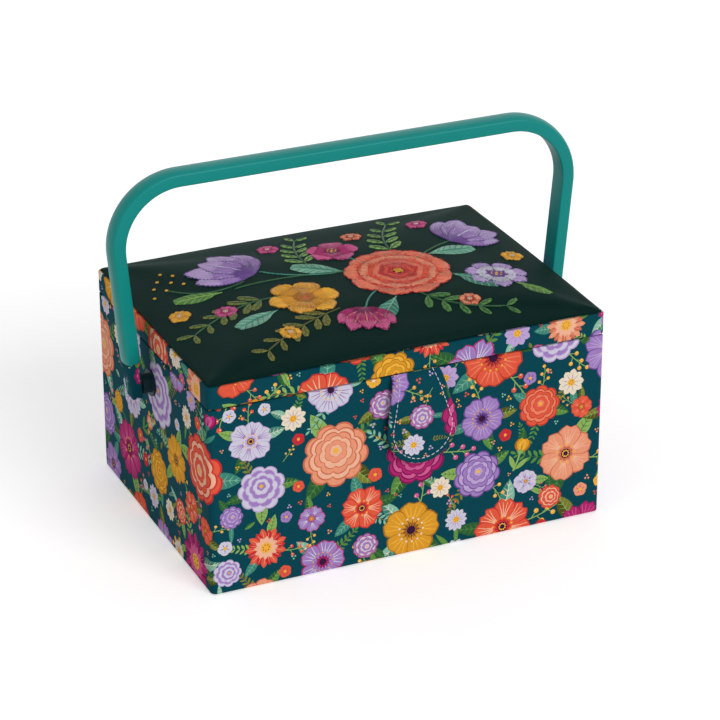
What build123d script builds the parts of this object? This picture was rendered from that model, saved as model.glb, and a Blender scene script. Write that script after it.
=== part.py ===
from build123d import *
import os
from math import acos, atan2, cos, hypot, pi, radians, sin, tan

# Sewing box with a padded lid, a tongue-shaped flap and a swinging bow handle.
# Millimetres. The origin is the middle of the base, +X is right seen from the front,
# -Y is the front and +Z is up.

# Box
box_width = 260.0
box_depth = 190.0
seam_height = 122.6
seam_gap = 0.9
corner_radius = 3.6
base_edge = 0.6

# Sheet goods
cloth = 0.8
board = 3.0
lining = 1.0
base_sheet = 0.6
base_board_thickness = 3.5
base_pad = 2.0

# Turned and inset edges
turn_in = 14.0
turn_under = 18.0
lining_drop = 2.2
base_sheet_inset = 5.0
fit_gap = 0.3

# Lid
rim_height = 13.95
pad_edge_rise = 2.3
pad_edge_inset = 2.4
pad_foot = 0.4
pad_shoulder_rise = 4.6
pad_shoulder_reach = 32.0
pad_shoulder_bulge = 0.9
pad_crown = 6.8
pad_inset = 0.2
lid_lining_lift = 2.0

# Things inside the lid
pocket_depth = 92.0
pocket_width = 232.0
pocket_thickness = 2.2
pocket_back_gap = 5.0
elastic_width = 9.0
elastic_thickness = 3.0
pincushion_radius = 29.0
pincushion_rise = 7.0
pincushion_steps = 3
pincushion_sweep = 85.0
pincushion_gores = 24
pincushion_x = 76.0
pincushion_y = -50.0

# Ledges and tray
ledge_thickness = 5.0
ledge_length = 150.0
tray_top = 116.0
tray_depth = 36.0
tray_wall = 1.6
tray_rib = 2.2
tray_flange_width = 6.5
tray_flange_thickness = 1.6
tray_corner_radius = 7.0
tray_corner_steps = 4
tray_taper = 2.0
tray_gap = 0.8
tray_left_column = 66.0
tray_right_column = 74.0
tray_left_rows = 3
tray_middle_rows = 1
tray_right_rows = 2
tray_notch_radius = 12.0

# Flap and its magnetic catch
flap_centre = 2.0
flap_top_width = 30.0
flap_round_radius = 23.0
flap_length = 59.5
flap_lean = 5.0
flap_stand_off = 3.0
flap_thickness = 2.4
flap_bend_length = 11.0
flap_card = 1.0
flap_hem = 1.6
catch_drop = 41.0
catch_radius = 8.0
catch_thickness = 1.5
catch_gap = 0.3
catch_stem_radius = 1.5

# Cloth hinge along the back
hinge_cloth = 0.6
hinge_strip_width = 246.0
hinge_strip_reach = 13.0
hinge_strip_gap = 1.2

# Bow handle
grip_height = 230.75
grip_depth = 14.0
grip_inner = 4.25
grip_outer = 3.75
grip_crown = 1.5
grip_inner_edge = 0.7
grip_outer_edge = 1.2
bow_radius = 40.0
arm_foot_x = 140.75
arm_foot_below_pivot = 7.0
arm_toe_in = 5.1

# Cloth-covered tabs at the ends of the handle
tab_length = 24.0
tab_top_thickness = 8.0
tab_top_width = 13.4
tab_foot_thickness = 6.6
tab_foot_width = 12.0
tab_edge = 1.2
tenon_length = 18.0
tenon_thickness = 4.2
tenon_width = 9.4

# Handle pivots
pivot_height = 100.0
pin_radius = 2.0
pin_clearance = 0.05
pin_head_radius = 4.0
pin_head_thickness = 1.2
pin_head_set_back = 0.8
head_clearance = 0.3
bush_radius = 6.0
bush_flange_radius = 8.5
bush_flange_thickness = 1.4
washer_radius = 7.0
washer_thickness = 0.7

# Heights that follow from the sizes above
body_top = seam_height - seam_gap / 2
lid_bottom = seam_height + seam_gap / 2
rim_top = lid_bottom + rim_height
wall_foot = base_sheet + cloth
floor_top = wall_foot + base_board_thickness
lining_floor = floor_top + base_pad
lid_board_top = rim_top - cloth
lid_board_low = lid_board_top - board
lid_ceiling = lid_board_low - lining
tray_shelf = tray_top - tray_flange_thickness
arm_foot_height = pivot_height - arm_foot_below_pivot
arm_cut_height = arm_foot_height + tab_length

# Plan sizes from the outside to the inside
board_width = box_width - 2 * cloth
board_depth = box_depth - 2 * cloth
inner_width = board_width - 2 * board
inner_depth = board_depth - 2 * board
lined_width = inner_width - 2 * cloth
lined_depth = inner_depth - 2 * cloth
room_width = lined_width - 2 * lining
room_depth = lined_depth - 2 * lining


def slab(width, depth, low, high, radius=0.0):
    """An upright block on the Z axis, with rounded upright edges if a radius is given."""
    outline = RectangleRounded(width, depth, radius) if radius > 0 else Rectangle(width, depth)
    return extrude(Pos(0, 0, low) * outline, high - low)


def eased_rectangle(width, depth, radius, steps):
    """A rectangle whose corners are eased by a few short straight runs."""
    points = []
    for corner, (across, back) in enumerate(((1, 1), (-1, 1), (-1, -1), (1, -1))):
        for step in range(steps + 1):
            turn = pi / 2 * (corner + step / steps)
            x = across * (width / 2 - radius) + radius * cos(turn)
            y = back * (depth / 2 - radius) + radius * sin(turn)
            points.append((x, y))
    return make_face(Polyline(*points, close=True))


def tube_x(radius, start, end, y, z):
    """A round bar along X from start to end."""
    return Plane((start, y, z), x_dir=(0, 1, 0), z_dir=(1, 0, 0)) * Cylinder(
        radius, end - start, align=(Align.CENTER, Align.CENTER, Align.MIN)
    )


def disc_y(radius, start, end, x, z):
    """A disc whose axis runs along Y, from start back to end."""
    return Plane((x, start, z), x_dir=(1, 0, 0), z_dir=(0, 1, 0)) * Cylinder(
        radius, end - start, align=(Align.CENTER, Align.CENTER, Align.MIN)
    )


def both_sides(solid):
    """A piece at the left end with its mirror image at the right end."""
    return Compound(children=[solid, mirror(solid, about=Plane.YZ)])


def four_walls(low, high, name):
    """A ring of board cut at the corners: front and back run through, the ends fit between."""
    ring = slab(board_width, board_depth, low, high, corner_radius - cloth)
    ring -= slab(inner_width, inner_depth, low, high)
    middle = (low + high) / 2
    across = Pos(0, 0, middle) * Box(box_width, inner_depth, 2 * (high - low))
    ends = ring & across
    runs = ring - across
    walls = {}
    for solid in ends.solids():
        walls[name + ("_left" if solid.center().X < 0 else "_right")] = solid
    for solid in runs.solids():
        walls[name + ("_front" if solid.center().Y < 0 else "_back")] = solid
    return walls


def arm_x(height):
    """Distance of an arm's centre line from the middle of the box at a height."""
    return arm_foot_x + (height - arm_foot_height) * tan(radians(arm_toe_in))


def arm_plane(height):
    """Section plane of the left arm at a height: local X is +Y and local Y points outwards."""
    lean = radians(arm_toe_in)
    return Plane((-arm_x(height), 0, height), x_dir=(0, 1, 0), z_dir=(-sin(lean), 0, cos(lean)))


def wedge(plane, head, toe, length):
    """A bar that narrows downwards from head to toe in one view and runs through in the other."""
    outline = Polyline(
        (-head / 2, 0), (head / 2, 0), (toe / 2, -length), (-toe / 2, -length), close=True
    )
    return extrude(plane * make_face(outline), tab_length, both=True)


def tab_solid(shrink, foot_lift):
    """The left tab, tapering to its foot, made smaller all round by shrink."""
    length = tab_length / cos(radians(arm_toe_in)) - foot_lift
    tab = wedge(Plane.XZ, tab_top_width - 2 * shrink, tab_foot_width - 2 * shrink, length)
    tab &= wedge(Plane.YZ, tab_top_thickness - 2 * shrink, tab_foot_thickness - 2 * shrink, length)
    tab = chamfer(tab.edges().sort_by(SortBy.LENGTH)[-4:], tab_edge - shrink / 2)
    return arm_plane(arm_cut_height) * tab


def crown_profile(plane, half, shrink):
    """Side view of the pad: an upright foot, a rounded edge, a shoulder and a shallow crown."""
    foot = rim_top + pad_foot
    edge = rim_top + pad_edge_rise - shrink
    shoulder = edge + pad_shoulder_rise
    top = edge + pad_crown
    reach = half - pad_edge_inset
    flat = half - pad_shoulder_reach
    bulge = (edge + shoulder) / 2 + pad_shoulder_bulge
    with BuildSketch(plane) as side:
        with BuildLine():
            Polyline((-half, foot), (-half, rim_top), (half, rim_top), (half, foot))
            TangentArc((half, foot), (reach, edge), tangent=(0, 1))
            TangentArc((-half, foot), (-reach, edge), tangent=(0, 1))
            ThreePointArc((reach, edge), ((reach + flat) / 2, bulge), (flat, shoulder))
            ThreePointArc((-reach, edge), (-(reach + flat) / 2, bulge), (-flat, shoulder))
            ThreePointArc((flat, shoulder), (0, top), (-flat, shoulder))
        make_face()
    return extrude(side.sketch, box_width, both=True)


def pad_solid(shrink):
    """The crowned pad of the lid, made smaller all round by shrink."""
    half_width = box_width / 2 - pad_inset - shrink
    half_depth = box_depth / 2 - pad_inset - shrink
    block = slab(2 * half_width, 2 * half_depth, rim_top, seam_height + box_depth, corner_radius - shrink)
    across = crown_profile(Plane.XZ, half_width, shrink)
    along = crown_profile(Plane.YZ, half_depth, shrink)
    return block & across & along


def flap_outline(inset, top_drop):
    """The flap's tongue shape seen from the front, on the XZ plane, leaning as it hangs."""
    half = flap_top_width / 2 - inset
    radius = flap_round_radius - inset
    drop = flap_length - flap_round_radius
    reach = hypot(half, drop - top_drop)
    turn = acos(radius / reach)
    start = atan2(drop - top_drop, half) + 2 * pi
    touch = start - turn
    right = (radius * cos(touch), radius * sin(touch) - drop)
    left = (-right[0], right[1])
    outline = Polyline(left, (-half, -top_drop), (half, -top_drop), right)
    outline += ThreePointArc(right, (0, -drop - radius), left)
    face = make_face(outline)
    front = Plane((flap_centre, 0, seam_height), x_dir=(1, 0, 0), z_dir=(0, -1, 0))
    return front * (Rot(0, 0, flap_lean) * face)


def flap_strip(inner, thickness, top):
    """The flap's curved side section swept across its width: it bows out from the seam."""
    wall = box_depth / 2
    near = -wall - inner
    far = near - thickness
    low = top - flap_length - flap_round_radius
    bend = top - flap_bend_length
    root = -wall - thickness * 0.1
    with BuildSketch(Plane.YZ) as side:
        with BuildLine():
            inner_bow = TangentArc((near, bend), (root, top), tangent=(0, 1))
            outer_bow = TangentArc((far, bend), (root - thickness * 0.35, top), tangent=(0, 1))
            Line(inner_bow @ 1, outer_bow @ 1)
            Line(outer_bow @ 0, (far, low))
            Line((far, low), (near, low))
            Line((near, low), inner_bow @ 0)
        make_face()
    return extrude(side.sketch, flap_round_radius * 3, both=True)


def through_y(outline):
    """A flat outline from the front view, carried through from the wall outwards."""
    return extrude(outline, box_depth)


# Body boards
walls = four_walls(wall_foot, body_top - cloth, "wall")
pin_hole = tube_x(pin_radius + pin_clearance, -box_width, box_width, 0, pivot_height)
for side in ("wall_left", "wall_right"):
    walls[side] -= pin_hole
lean = radians(flap_lean)
catch_x = flap_centre + catch_drop * sin(lean)
catch_z = seam_height - catch_drop * cos(lean)
stem_hole = disc_y(catch_stem_radius + pin_clearance, -box_depth, 0, catch_x, catch_z)
walls["wall_front"] -= stem_hole
base_board = slab(inner_width, inner_depth, wall_foot, floor_top)

# Printed cloth round the body, turned over the top edge and under the base
body_cover = slab(box_width, box_depth, base_sheet, body_top, corner_radius)
body_cover = chamfer(body_cover.faces().sort_by(Axis.Z)[0].edges(), base_edge)
body_cover -= slab(board_width, board_depth, wall_foot, body_top - cloth, corner_radius - cloth)
body_cover -= slab(lined_width, lined_depth, seam_height / 2, seam_height)
body_cover -= slab(box_width - 2 * turn_under, box_depth - 2 * turn_under, 0, seam_height / 2)
turned = slab(inner_width, inner_depth, body_top - turn_in, body_top)
body_cover += turned - slab(lined_width, lined_depth, body_top - turn_in, body_top)
seat_radius = washer_radius + fit_gap
washer_seat = tube_x(seat_radius, -inner_width / 2, -lined_width / 2, 0, pivot_height)
body_cover = body_cover - pin_hole - stem_hole - both_sides(washer_seat)
base_cover = slab(
    box_width - 2 * base_sheet_inset, box_depth - 2 * base_sheet_inset, 0, base_sheet, corner_radius
)

# Linings
wall_lining = slab(lined_width, lined_depth, floor_top, body_top - lining_drop, lining)
wall_lining -= slab(room_width, room_depth, floor_top, body_top)
base_lining = slab(
    room_width - 2 * fit_gap, room_depth - 2 * fit_gap, floor_top, lining_floor, lining
)
base_lining = chamfer(base_lining.faces().sort_by(Axis.Z)[-1].edges(), base_pad * 0.4)

# Ledges that carry the tray by its flange
ledge = Pos(-(room_width - ledge_thickness) / 2, 0, (lining_floor + tray_shelf) / 2) * Box(
    ledge_thickness, ledge_length, tray_shelf - lining_floor
)
ledge = fillet(ledge.edges().filter_by(Axis.Z).sort_by(Axis.X)[-2:], ledge_thickness * 0.4)

# Moulded tray: a tapered pan with a flange and rows of tapered pockets
flange_width = room_width - 2 * tray_gap
flange_depth = room_depth - 2 * tray_gap
pan_width = flange_width - 2 * tray_flange_width
pan_depth = flange_depth - 2 * tray_flange_width
pan = extrude(
    Pos(0, 0, tray_top) * eased_rectangle(pan_width, pan_depth, tray_corner_radius, tray_corner_steps),
    -tray_depth,
    taper=tray_taper,
)
pan = chamfer(pan.faces().sort_by(Axis.Z)[0].edges(), tray_wall)
flange = eased_rectangle(flange_width, flange_depth, tray_corner_radius, tray_corner_steps)
tray = pan + Pos(0, 0, tray_shelf) * extrude(flange, tray_flange_thickness)
columns = (
    (tray_left_column, tray_left_rows),
    (pan_width - 2 * tray_wall - 2 * tray_rib - tray_left_column - tray_right_column, tray_middle_rows),
    (tray_right_column, tray_right_rows),
)
pocket_low = -pan_width / 2 + tray_wall
room_for_rows = pan_depth - 2 * tray_wall
for column_width, rows in columns:
    row_depth = (room_for_rows - (rows - 1) * tray_rib) / rows
    for row in range(rows):
        centre_y = -room_for_rows / 2 + row_depth / 2 + row * (row_depth + tray_rib)
        mouth = Pos(pocket_low + column_width / 2, centre_y, tray_top) * eased_rectangle(
            column_width, row_depth, tray_corner_radius - tray_wall, tray_corner_steps
        )
        pocket = extrude(mouth, -(tray_depth - tray_wall), taper=tray_taper)
        tray -= pocket
    pocket_low += column_width + tray_rib
for side in (-1, 1):
    tray -= Pos(side * (flange_width / 2 + tray_notch_radius * 0.6), 0, tray_shelf) * Cylinder(
        tray_notch_radius, tray_flange_thickness * 4
    )

# Magnetic catch on the front wall
wall_face = -box_depth / 2
plate_face = wall_face - catch_thickness
catch_plate = disc_y(catch_radius, plate_face, wall_face, catch_x, catch_z)
catch_plate = chamfer(catch_plate.edges().sort_by(Axis.Y)[0], catch_thickness * 0.3)
catch_plate += disc_y(catch_stem_radius, wall_face, -inner_depth / 2 + cloth, catch_x, catch_z)
catch_washer = disc_y(
    catch_radius, -inner_depth / 2, -inner_depth / 2 + cloth, catch_x, catch_z
) - disc_y(catch_stem_radius + pin_clearance, -inner_depth, 0, catch_x, catch_z)

# Cloth hinge across the seam at the back, one half on the body and one on the lid
hinge_y = box_depth / 2 + hinge_cloth / 2
hinge_low = seam_height - hinge_strip_gap / 2 - hinge_strip_reach
hinge_strip_lower = Pos(0, hinge_y, hinge_low + hinge_strip_reach / 2) * Box(
    hinge_strip_width, hinge_cloth, hinge_strip_reach
)
hinge_strip_upper = Pos(0, 0, hinge_strip_reach + hinge_strip_gap) * hinge_strip_lower

# Lid boards, printed rim cloth, foam, padded top and lining
rims = four_walls(lid_bottom + cloth, lid_board_low, "rim")
lid_board = slab(board_width, board_depth, lid_board_low, lid_board_top, corner_radius - cloth)
rim_cover = slab(box_width, box_depth, lid_bottom, rim_top, corner_radius)
rim_cover -= slab(board_width, board_depth, lid_bottom + cloth, lid_board_top, corner_radius - cloth)
rim_cover -= slab(box_width - 2 * turn_in, box_depth - 2 * turn_in, lid_board_low, rim_top)
rim_cover -= slab(lined_width, lined_depth, lid_bottom, lid_board_low)
pad_foam = pad_solid(cloth)
pad_cover = pad_solid(0.0) - pad_foam
lid_lining = slab(lined_width, lined_depth, lid_bottom + lid_lining_lift, lid_board_low, lining)
lid_lining -= slab(room_width, room_depth, lid_bottom, lid_ceiling)

# Elastic pocket and pincushion on the underside of the lid
pocket_back = room_depth / 2 - pocket_back_gap
lid_pocket = Pos(0, pocket_back - pocket_depth / 2, 0) * slab(
    pocket_width, pocket_depth, lid_ceiling - pocket_thickness, lid_ceiling, corner_radius
)
lid_pocket = chamfer(lid_pocket.faces().sort_by(Axis.Z)[0].edges(), pocket_thickness * 0.4)
pocket_elastic = Pos(0, pocket_back - pocket_depth - elastic_width / 2, 0) * slab(
    pocket_width, elastic_width, lid_ceiling - elastic_thickness, lid_ceiling
)
pocket_elastic = chamfer(
    pocket_elastic.faces().sort_by(Axis.Z)[0].edges().filter_by(Axis.X), elastic_thickness * 0.4
)
pincushion_rings = []
for step in range(pincushion_steps + 1):
    turn = radians(pincushion_sweep * step / pincushion_steps)
    ring = RegularPolygon(pincushion_radius * cos(turn), pincushion_gores)
    ring_height = lid_ceiling - pincushion_rise * sin(turn)
    pincushion_rings.append(Pos(pincushion_x, pincushion_y, ring_height) * ring)
pincushion = loft(pincushion_rings, ruled=True)

# Flap: cloth round a stiff card, with the magnet on its back
flap_top = lid_bottom - cloth / 2
flap_cover = flap_strip(flap_stand_off, flap_thickness, flap_top) & through_y(flap_outline(0.0, 0.0))
card_skin = (flap_thickness - flap_card) / 2
card_shape = through_y(flap_outline(flap_hem, flap_bend_length + flap_hem))
card_y = wall_face - flap_stand_off - card_skin - flap_card / 2
flap_board = card_shape & Pos(0, card_y, seam_height) * Box(box_width, flap_card, 2 * seam_height)
flap_cover -= flap_board
magnet_back = wall_face - flap_stand_off
flap_magnet = disc_y(catch_radius, magnet_back, plate_face - catch_gap, catch_x, catch_z)

# Bow handle swept along its centre line, with a socket in each cut end
corner_x = arm_x(grip_height)
cut_x = arm_x(arm_cut_height)
centre_line = Plane.XZ * FilletPolyline(
    (-cut_x, arm_cut_height),
    (-corner_x, grip_height),
    (corner_x, grip_height),
    (cut_x, arm_cut_height),
    radius=bow_radius,
)
with BuildSketch(arm_plane(arm_cut_height)) as grip:
    with BuildLine():
        Polyline(
            (-grip_depth / 2, grip_outer),
            (-grip_depth / 2, -grip_inner),
            (grip_depth / 2, -grip_inner),
            (grip_depth / 2, grip_outer),
        )
        ThreePointArc(
            (grip_depth / 2, grip_outer), (0, grip_outer + grip_crown), (-grip_depth / 2, grip_outer)
        )
    make_face()
    chamfer(grip.vertices().sort_by(Axis.X)[-2:], grip_inner_edge)
    chamfer(grip.vertices().sort_by(Axis.X)[:2], grip_outer_edge)
handle_bow = sweep(grip.sketch, path=centre_line)
socket = extrude(
    arm_plane(arm_cut_height) * Rectangle(tenon_width, tenon_thickness), tenon_length + fit_gap
)
handle_bow -= socket
handle_bow -= mirror(socket, about=Plane.YZ)

# Tabs: a core with its tenon in the handle's socket, and its cloth sleeve
core = tab_solid(cloth, cloth)
core += extrude(arm_plane(arm_cut_height) * Rectangle(tenon_width, tenon_thickness), tenon_length)
sleeve = tab_solid(0.0, 0.0) - tab_solid(cloth, cloth)
pivot_x = arm_x(pivot_height)
tab_share = arm_foot_below_pivot / tab_length
tab_half = (tab_foot_thickness + tab_share * (tab_top_thickness - tab_foot_thickness)) / 2
tab_slope = tan(radians(arm_toe_in)) + (tab_top_thickness - tab_foot_thickness) / 2 / tab_length
head_face = pivot_x + tab_half - cloth - pin_head_set_back
head_seat = head_face - pin_head_thickness
counterbore = tube_x(
    pin_head_radius + head_clearance, -2 * pivot_x, -head_seat + head_clearance, 0, pivot_height
)
tab_bore = tube_x(pin_radius + pin_clearance, -2 * pivot_x, 0, 0, pivot_height)
core = core - counterbore - tab_bore
sleeve -= tube_x(pin_radius + pin_clearance, -pivot_x, 0, 0, pivot_height)

# Pivots: rivet, bush between tab and wall, and the washer behind the wall
wall_x = box_width / 2
bush_end = pivot_x - tab_half - tab_slope * bush_radius - fit_gap
bush = tube_x(bush_radius, -bush_end, -wall_x, 0, pivot_height)
bush += tube_x(
    bush_flange_radius, -wall_x - bush_flange_thickness, -wall_x, 0, pivot_height
)
bush -= pin_hole
rivet = tube_x(pin_radius, -head_face, -inner_width / 2 + washer_thickness, 0, pivot_height)
rivet += tube_x(pin_head_radius, -head_face, -head_seat, 0, pivot_height)
washer = tube_x(washer_radius, -inner_width / 2, -inner_width / 2 + washer_thickness, 0, pivot_height)
washer -= pin_hole

pieces = {
    "base_board": base_board,
    "front_board": walls["wall_front"],
    "back_board": walls["wall_back"],
    "left_board": walls["wall_left"],
    "right_board": walls["wall_right"],
    "body_cover": body_cover,
    "base_cover": base_cover,
    "wall_lining": wall_lining,
    "base_lining": base_lining,
    "left_ledge": ledge,
    "right_ledge": mirror(ledge, about=Plane.YZ),
    "compartment_tray": tray,
    "catch_plate": catch_plate,
    "catch_washer": catch_washer,
    "hinge_strip_lower": hinge_strip_lower,
    "pivot_bushes": both_sides(bush),
    "pivot_rivets": both_sides(rivet),
    "pivot_washers": both_sides(washer),
    "lid_board": lid_board,
    "lid_rim_front": rims["rim_front"],
    "lid_rim_back": rims["rim_back"],
    "lid_rim_left": rims["rim_left"],
    "lid_rim_right": rims["rim_right"],
    "rim_cover": rim_cover,
    "pad_foam": pad_foam,
    "pad_cover": pad_cover,
    "lid_lining": lid_lining,
    "lid_pocket": lid_pocket,
    "pocket_elastic": pocket_elastic,
    "pincushion": pincushion,
    "hinge_strip_upper": hinge_strip_upper,
    "flap_board": flap_board,
    "flap_cover": flap_cover,
    "flap_magnet": flap_magnet,
    "handle_bow": handle_bow,
    "left_tab_core": core,
    "right_tab_core": mirror(core, about=Plane.YZ),
    "left_tab_sleeve": sleeve,
    "right_tab_sleeve": mirror(sleeve, about=Plane.YZ),
}

os.makedirs("parts", exist_ok=True)
for name, solid in pieces.items():
    export_step(solid, f"parts/{name}.step")
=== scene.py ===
"""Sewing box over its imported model: printed cotton, embroidered pad, flap, tabs, handle and inside."""

import math
import random
from contextlib import contextmanager

import bmesh
import bpy
from mathutils import Matrix, Vector, noise
from mathutils.bvhtree import BVHTree
from mathutils.geometry import delaunay_2d_cdt


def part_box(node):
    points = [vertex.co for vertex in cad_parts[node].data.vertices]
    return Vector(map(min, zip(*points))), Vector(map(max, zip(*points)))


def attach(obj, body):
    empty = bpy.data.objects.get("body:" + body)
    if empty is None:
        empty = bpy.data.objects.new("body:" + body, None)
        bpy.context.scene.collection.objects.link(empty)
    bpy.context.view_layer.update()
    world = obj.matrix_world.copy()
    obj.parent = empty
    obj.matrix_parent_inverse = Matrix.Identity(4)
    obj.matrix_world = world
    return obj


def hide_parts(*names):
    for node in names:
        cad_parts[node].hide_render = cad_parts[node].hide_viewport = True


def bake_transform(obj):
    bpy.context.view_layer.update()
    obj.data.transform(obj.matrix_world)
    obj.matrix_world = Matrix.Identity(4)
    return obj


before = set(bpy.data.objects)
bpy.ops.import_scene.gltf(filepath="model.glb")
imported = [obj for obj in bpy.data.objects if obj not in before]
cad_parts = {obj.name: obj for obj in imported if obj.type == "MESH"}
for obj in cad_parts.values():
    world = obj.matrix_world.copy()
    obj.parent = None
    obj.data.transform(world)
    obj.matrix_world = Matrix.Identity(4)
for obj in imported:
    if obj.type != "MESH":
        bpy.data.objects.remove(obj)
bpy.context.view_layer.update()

bl_info = {
    "name": "Sewing box",
    "version": (1, 0, 0),
    "blender": (4, 5, 0),
    "location": "3D View > Sidebar > Sewing box",
    "description": "Dresses a cloth-covered sewing box with print, embroidery, fittings and a studio",
    "category": "Object",
}

MM = 0.001

# Dye and ink colours, as sRGB hex values
TONES = {
    "ground": "#03434F",
    "coral": "#E2593F",
    "coral_light": "#EC8163",
    "coral_dark": "#B93A28",
    "peach": "#EA9876",
    "peach_light": "#F0B596",
    "peach_dark": "#CC6C50",
    "magenta": "#B0286C",
    "magenta_light": "#D25C92",
    "magenta_dark": "#7C1450",
    "red": "#C92E33",
    "mustard": "#DB9A2C",
    "yellow": "#EFB23C",
    "ochre": "#AD711B",
    "lavender": "#A07EBE",
    "lavender_light": "#BDA4D4",
    "lavender_dark": "#6A4790",
    "lilac_white": "#CFCBDC",
    "cream": "#E9DBC4",
    "mint": "#84BBA2",
    "mint_dark": "#3C8473",
    "leaf": "#568A40",
    "leaf_light": "#8AB05C",
    "leaf_dark": "#2C5E36",
    "olive": "#7D7D34",
    "olive_dark": "#50531F",
    "plum": "#38163B",
}


def linear(code):
    """An sRGB hex value as linear red, green, blue and alpha."""
    parts = [int(code[i : i + 2], 16) / 255 for i in (1, 3, 5)]
    return tuple(c / 12.92 if c <= 0.04045 else ((c + 0.055) / 1.055) ** 2.4 for c in parts) + (1.0,)


def box_mm(node):
    """A CAD node's corners in millimetres."""
    low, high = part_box(node)
    return low * 1000, high * 1000


# The outline that the cloth follows, in millimetres
BODY_LOW, BODY_HIGH = box_mm("body_cover")
RIM_LOW, RIM_HIGH = box_mm("rim_cover")
HALF_WIDTH = BODY_HIGH.x
HALF_DEPTH = BODY_HIGH.y
CORNER = 3.6
INSIDE = -4.6
HALF_STRAIGHT_X = HALF_WIDTH - CORNER
HALF_STRAIGHT_Y = HALF_DEPTH - CORNER
CORNER_ARC = math.pi * CORNER / 2
WRAP_PAST_CORNER = 8.0


def colour_property(name, description, code):
    """A colour swatch whose default is an sRGB hex value."""
    return bpy.props.FloatVectorProperty(
        name=name, description=description, subtype="COLOR", size=3, min=0, max=1, default=linear(code)[:3]
    )


def length_property(name, description, default):
    """A length in metres that the panel sets."""
    return bpy.props.FloatProperty(name=name, description=description, unit="LENGTH", default=default)


class SewingBoxSizes(bpy.types.PropertyGroup):
    """Sizes of the cloth, stitches and padding, in metres where they are lengths."""

    print_seed: bpy.props.IntProperty(name="Print seed", description="Layout of the print", default=7)
    large_bloom: length_property("Large bloom", "Radius of the print's large flowers", 0.0165)
    medium_bloom: length_property("Medium bloom", "Radius of the print's middle flowers", 0.0092)
    small_bloom: length_property("Small bloom", "Radius of the print's small flowers", 0.0048)
    weave: length_property("Weave spacing", "Distance between cotton threads", 0.00055)
    thread: length_property("Embroidery thread", "Width of the embroidery thread", 0.0008)
    hem_stitch: length_property("Hem stitch", "Length of the flap's running stitch", 0.0024)
    hem_gap: length_property("Hem gap", "Gap between the flap's running stitches", 0.0009)
    pad_crown: length_property("Pad crown", "Rise of the pad's middle over its edge", 0.0058)
    pad_pressure: bpy.props.FloatProperty(
        name="Pad pressure", description="Pressure of the foam under the pad's cloth", default=2.0
    )


class SewingBoxColours(bpy.types.PropertyGroup):
    """Colours of the plain cloths, the plastic and the floor."""

    pad: colour_property("Pad cloth", "Dyed cloth of the padded top", "#03211D")
    handle: colour_property("Handle", "Moulded plastic of the bow handle", "#00857F")
    lining: colour_property("Lining", "Plain cotton inside the box", "#1C6F73")
    tray: colour_property("Tray", "Moulded plastic of the tray", "#D9DDDA")
    floor: colour_property("Floor", "Studio floor", "#FBFBFB")


def sizes():
    """The sizes that the panel sets."""
    return bpy.context.scene.sewing_box_sizes


def swatch(name):
    """A colour that the panel sets, with alpha."""
    return tuple(getattr(bpy.context.scene.sewing_box_colours, name)) + (1.0,)


def add_node(tree, kind, settings=None):
    """Adds a node and sets its properties and sockets; a socket may take the output of another node."""
    node = tree.nodes.new(kind)
    for key, value in (settings or {}).items():
        if isinstance(value, bpy.types.NodeSocket):
            tree.links.new(value, node.inputs[key])
        elif isinstance(key, int) or key in node.inputs:
            node.inputs[key].default_value = value
        else:
            setattr(node, key, value)
    return node


def output(tree, kind, settings=None):
    """The first output of a new node."""
    return add_node(tree, kind, settings).outputs[0]


def maths(tree, operation, *terms):
    """The result of a maths node; each term is a number or the output of another node."""
    return output(tree, "ShaderNodeMath", {"operation": operation} | dict(enumerate(terms)))


def scaled(tree, vector, factor):
    """A colour or vector times a factor."""
    return output(tree, "ShaderNodeVectorMath", {"operation": "SCALE", 0: vector, "Scale": factor})


def speckle(tree, vector, scale, detail):
    """Noise over a place, from 0 to 1."""
    return output(tree, "ShaderNodeTexNoise", {"Scale": scale, "Detail": detail, "Vector": vector})


def ranged(tree, value, low, high):
    """A value from 0 to 1 carried to a range."""
    return output(tree, "ShaderNodeMapRange", {"To Min": low, "To Max": high, "Value": value})


def object_place(tree):
    """The place on the piece in its own metres."""
    return add_node(tree, "ShaderNodeTexCoord").outputs["Object"]


def new_material(name, surface):
    """An empty material with a surface shader that has constant settings."""
    material = bpy.data.materials.new(name)
    material.use_nodes = True
    tree = material.node_tree
    tree.nodes.clear()
    shader = add_node(tree, "ShaderNodeBsdfPrincipled", surface)
    add_node(tree, "ShaderNodeOutputMaterial", {"Surface": shader.outputs[0]})
    return material, tree, shader


def raised(tree, shader, height, strength, depth):
    """Bump of a depth in metres on the shader."""
    bump = output(tree, "ShaderNodeBump", {"Strength": strength, "Distance": depth, "Height": height})
    tree.links.new(bump, shader.inputs["Normal"])


def woven(tree, shader, vector, spacing, depth, strength):
    """Plain weave: threads over and under at a spacing in metres, as bump on the shader."""
    axes = add_node(tree, "ShaderNodeSeparateXYZ", {0: vector}).outputs
    angles = [maths(tree, "MULTIPLY", axes[axis], math.pi / spacing) for axis in (0, 1)]
    waves = [maths(tree, "SINE", angle) for angle in angles]
    height = maths(tree, "ABSOLUTE", maths(tree, "MULTIPLY", *waves))
    raised(tree, shader, height, strength, depth)
    return height


def mottled(tree, colour, vector, scale, low, high):
    """A colour that a soft noise darkens or lifts a little."""
    return scaled(tree, colour, ranged(tree, speckle(tree, vector, scale, 3.0), low, high))


def dyed(tree, shader, colour, vector, scale, low, high):
    """An even colour with a faint mottle on the shader."""
    base = add_node(tree, "ShaderNodeRGB").outputs[0]
    base.default_value = colour
    tree.links.new(mottled(tree, base, vector, scale, low, high), shader.inputs["Base Color"])


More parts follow.
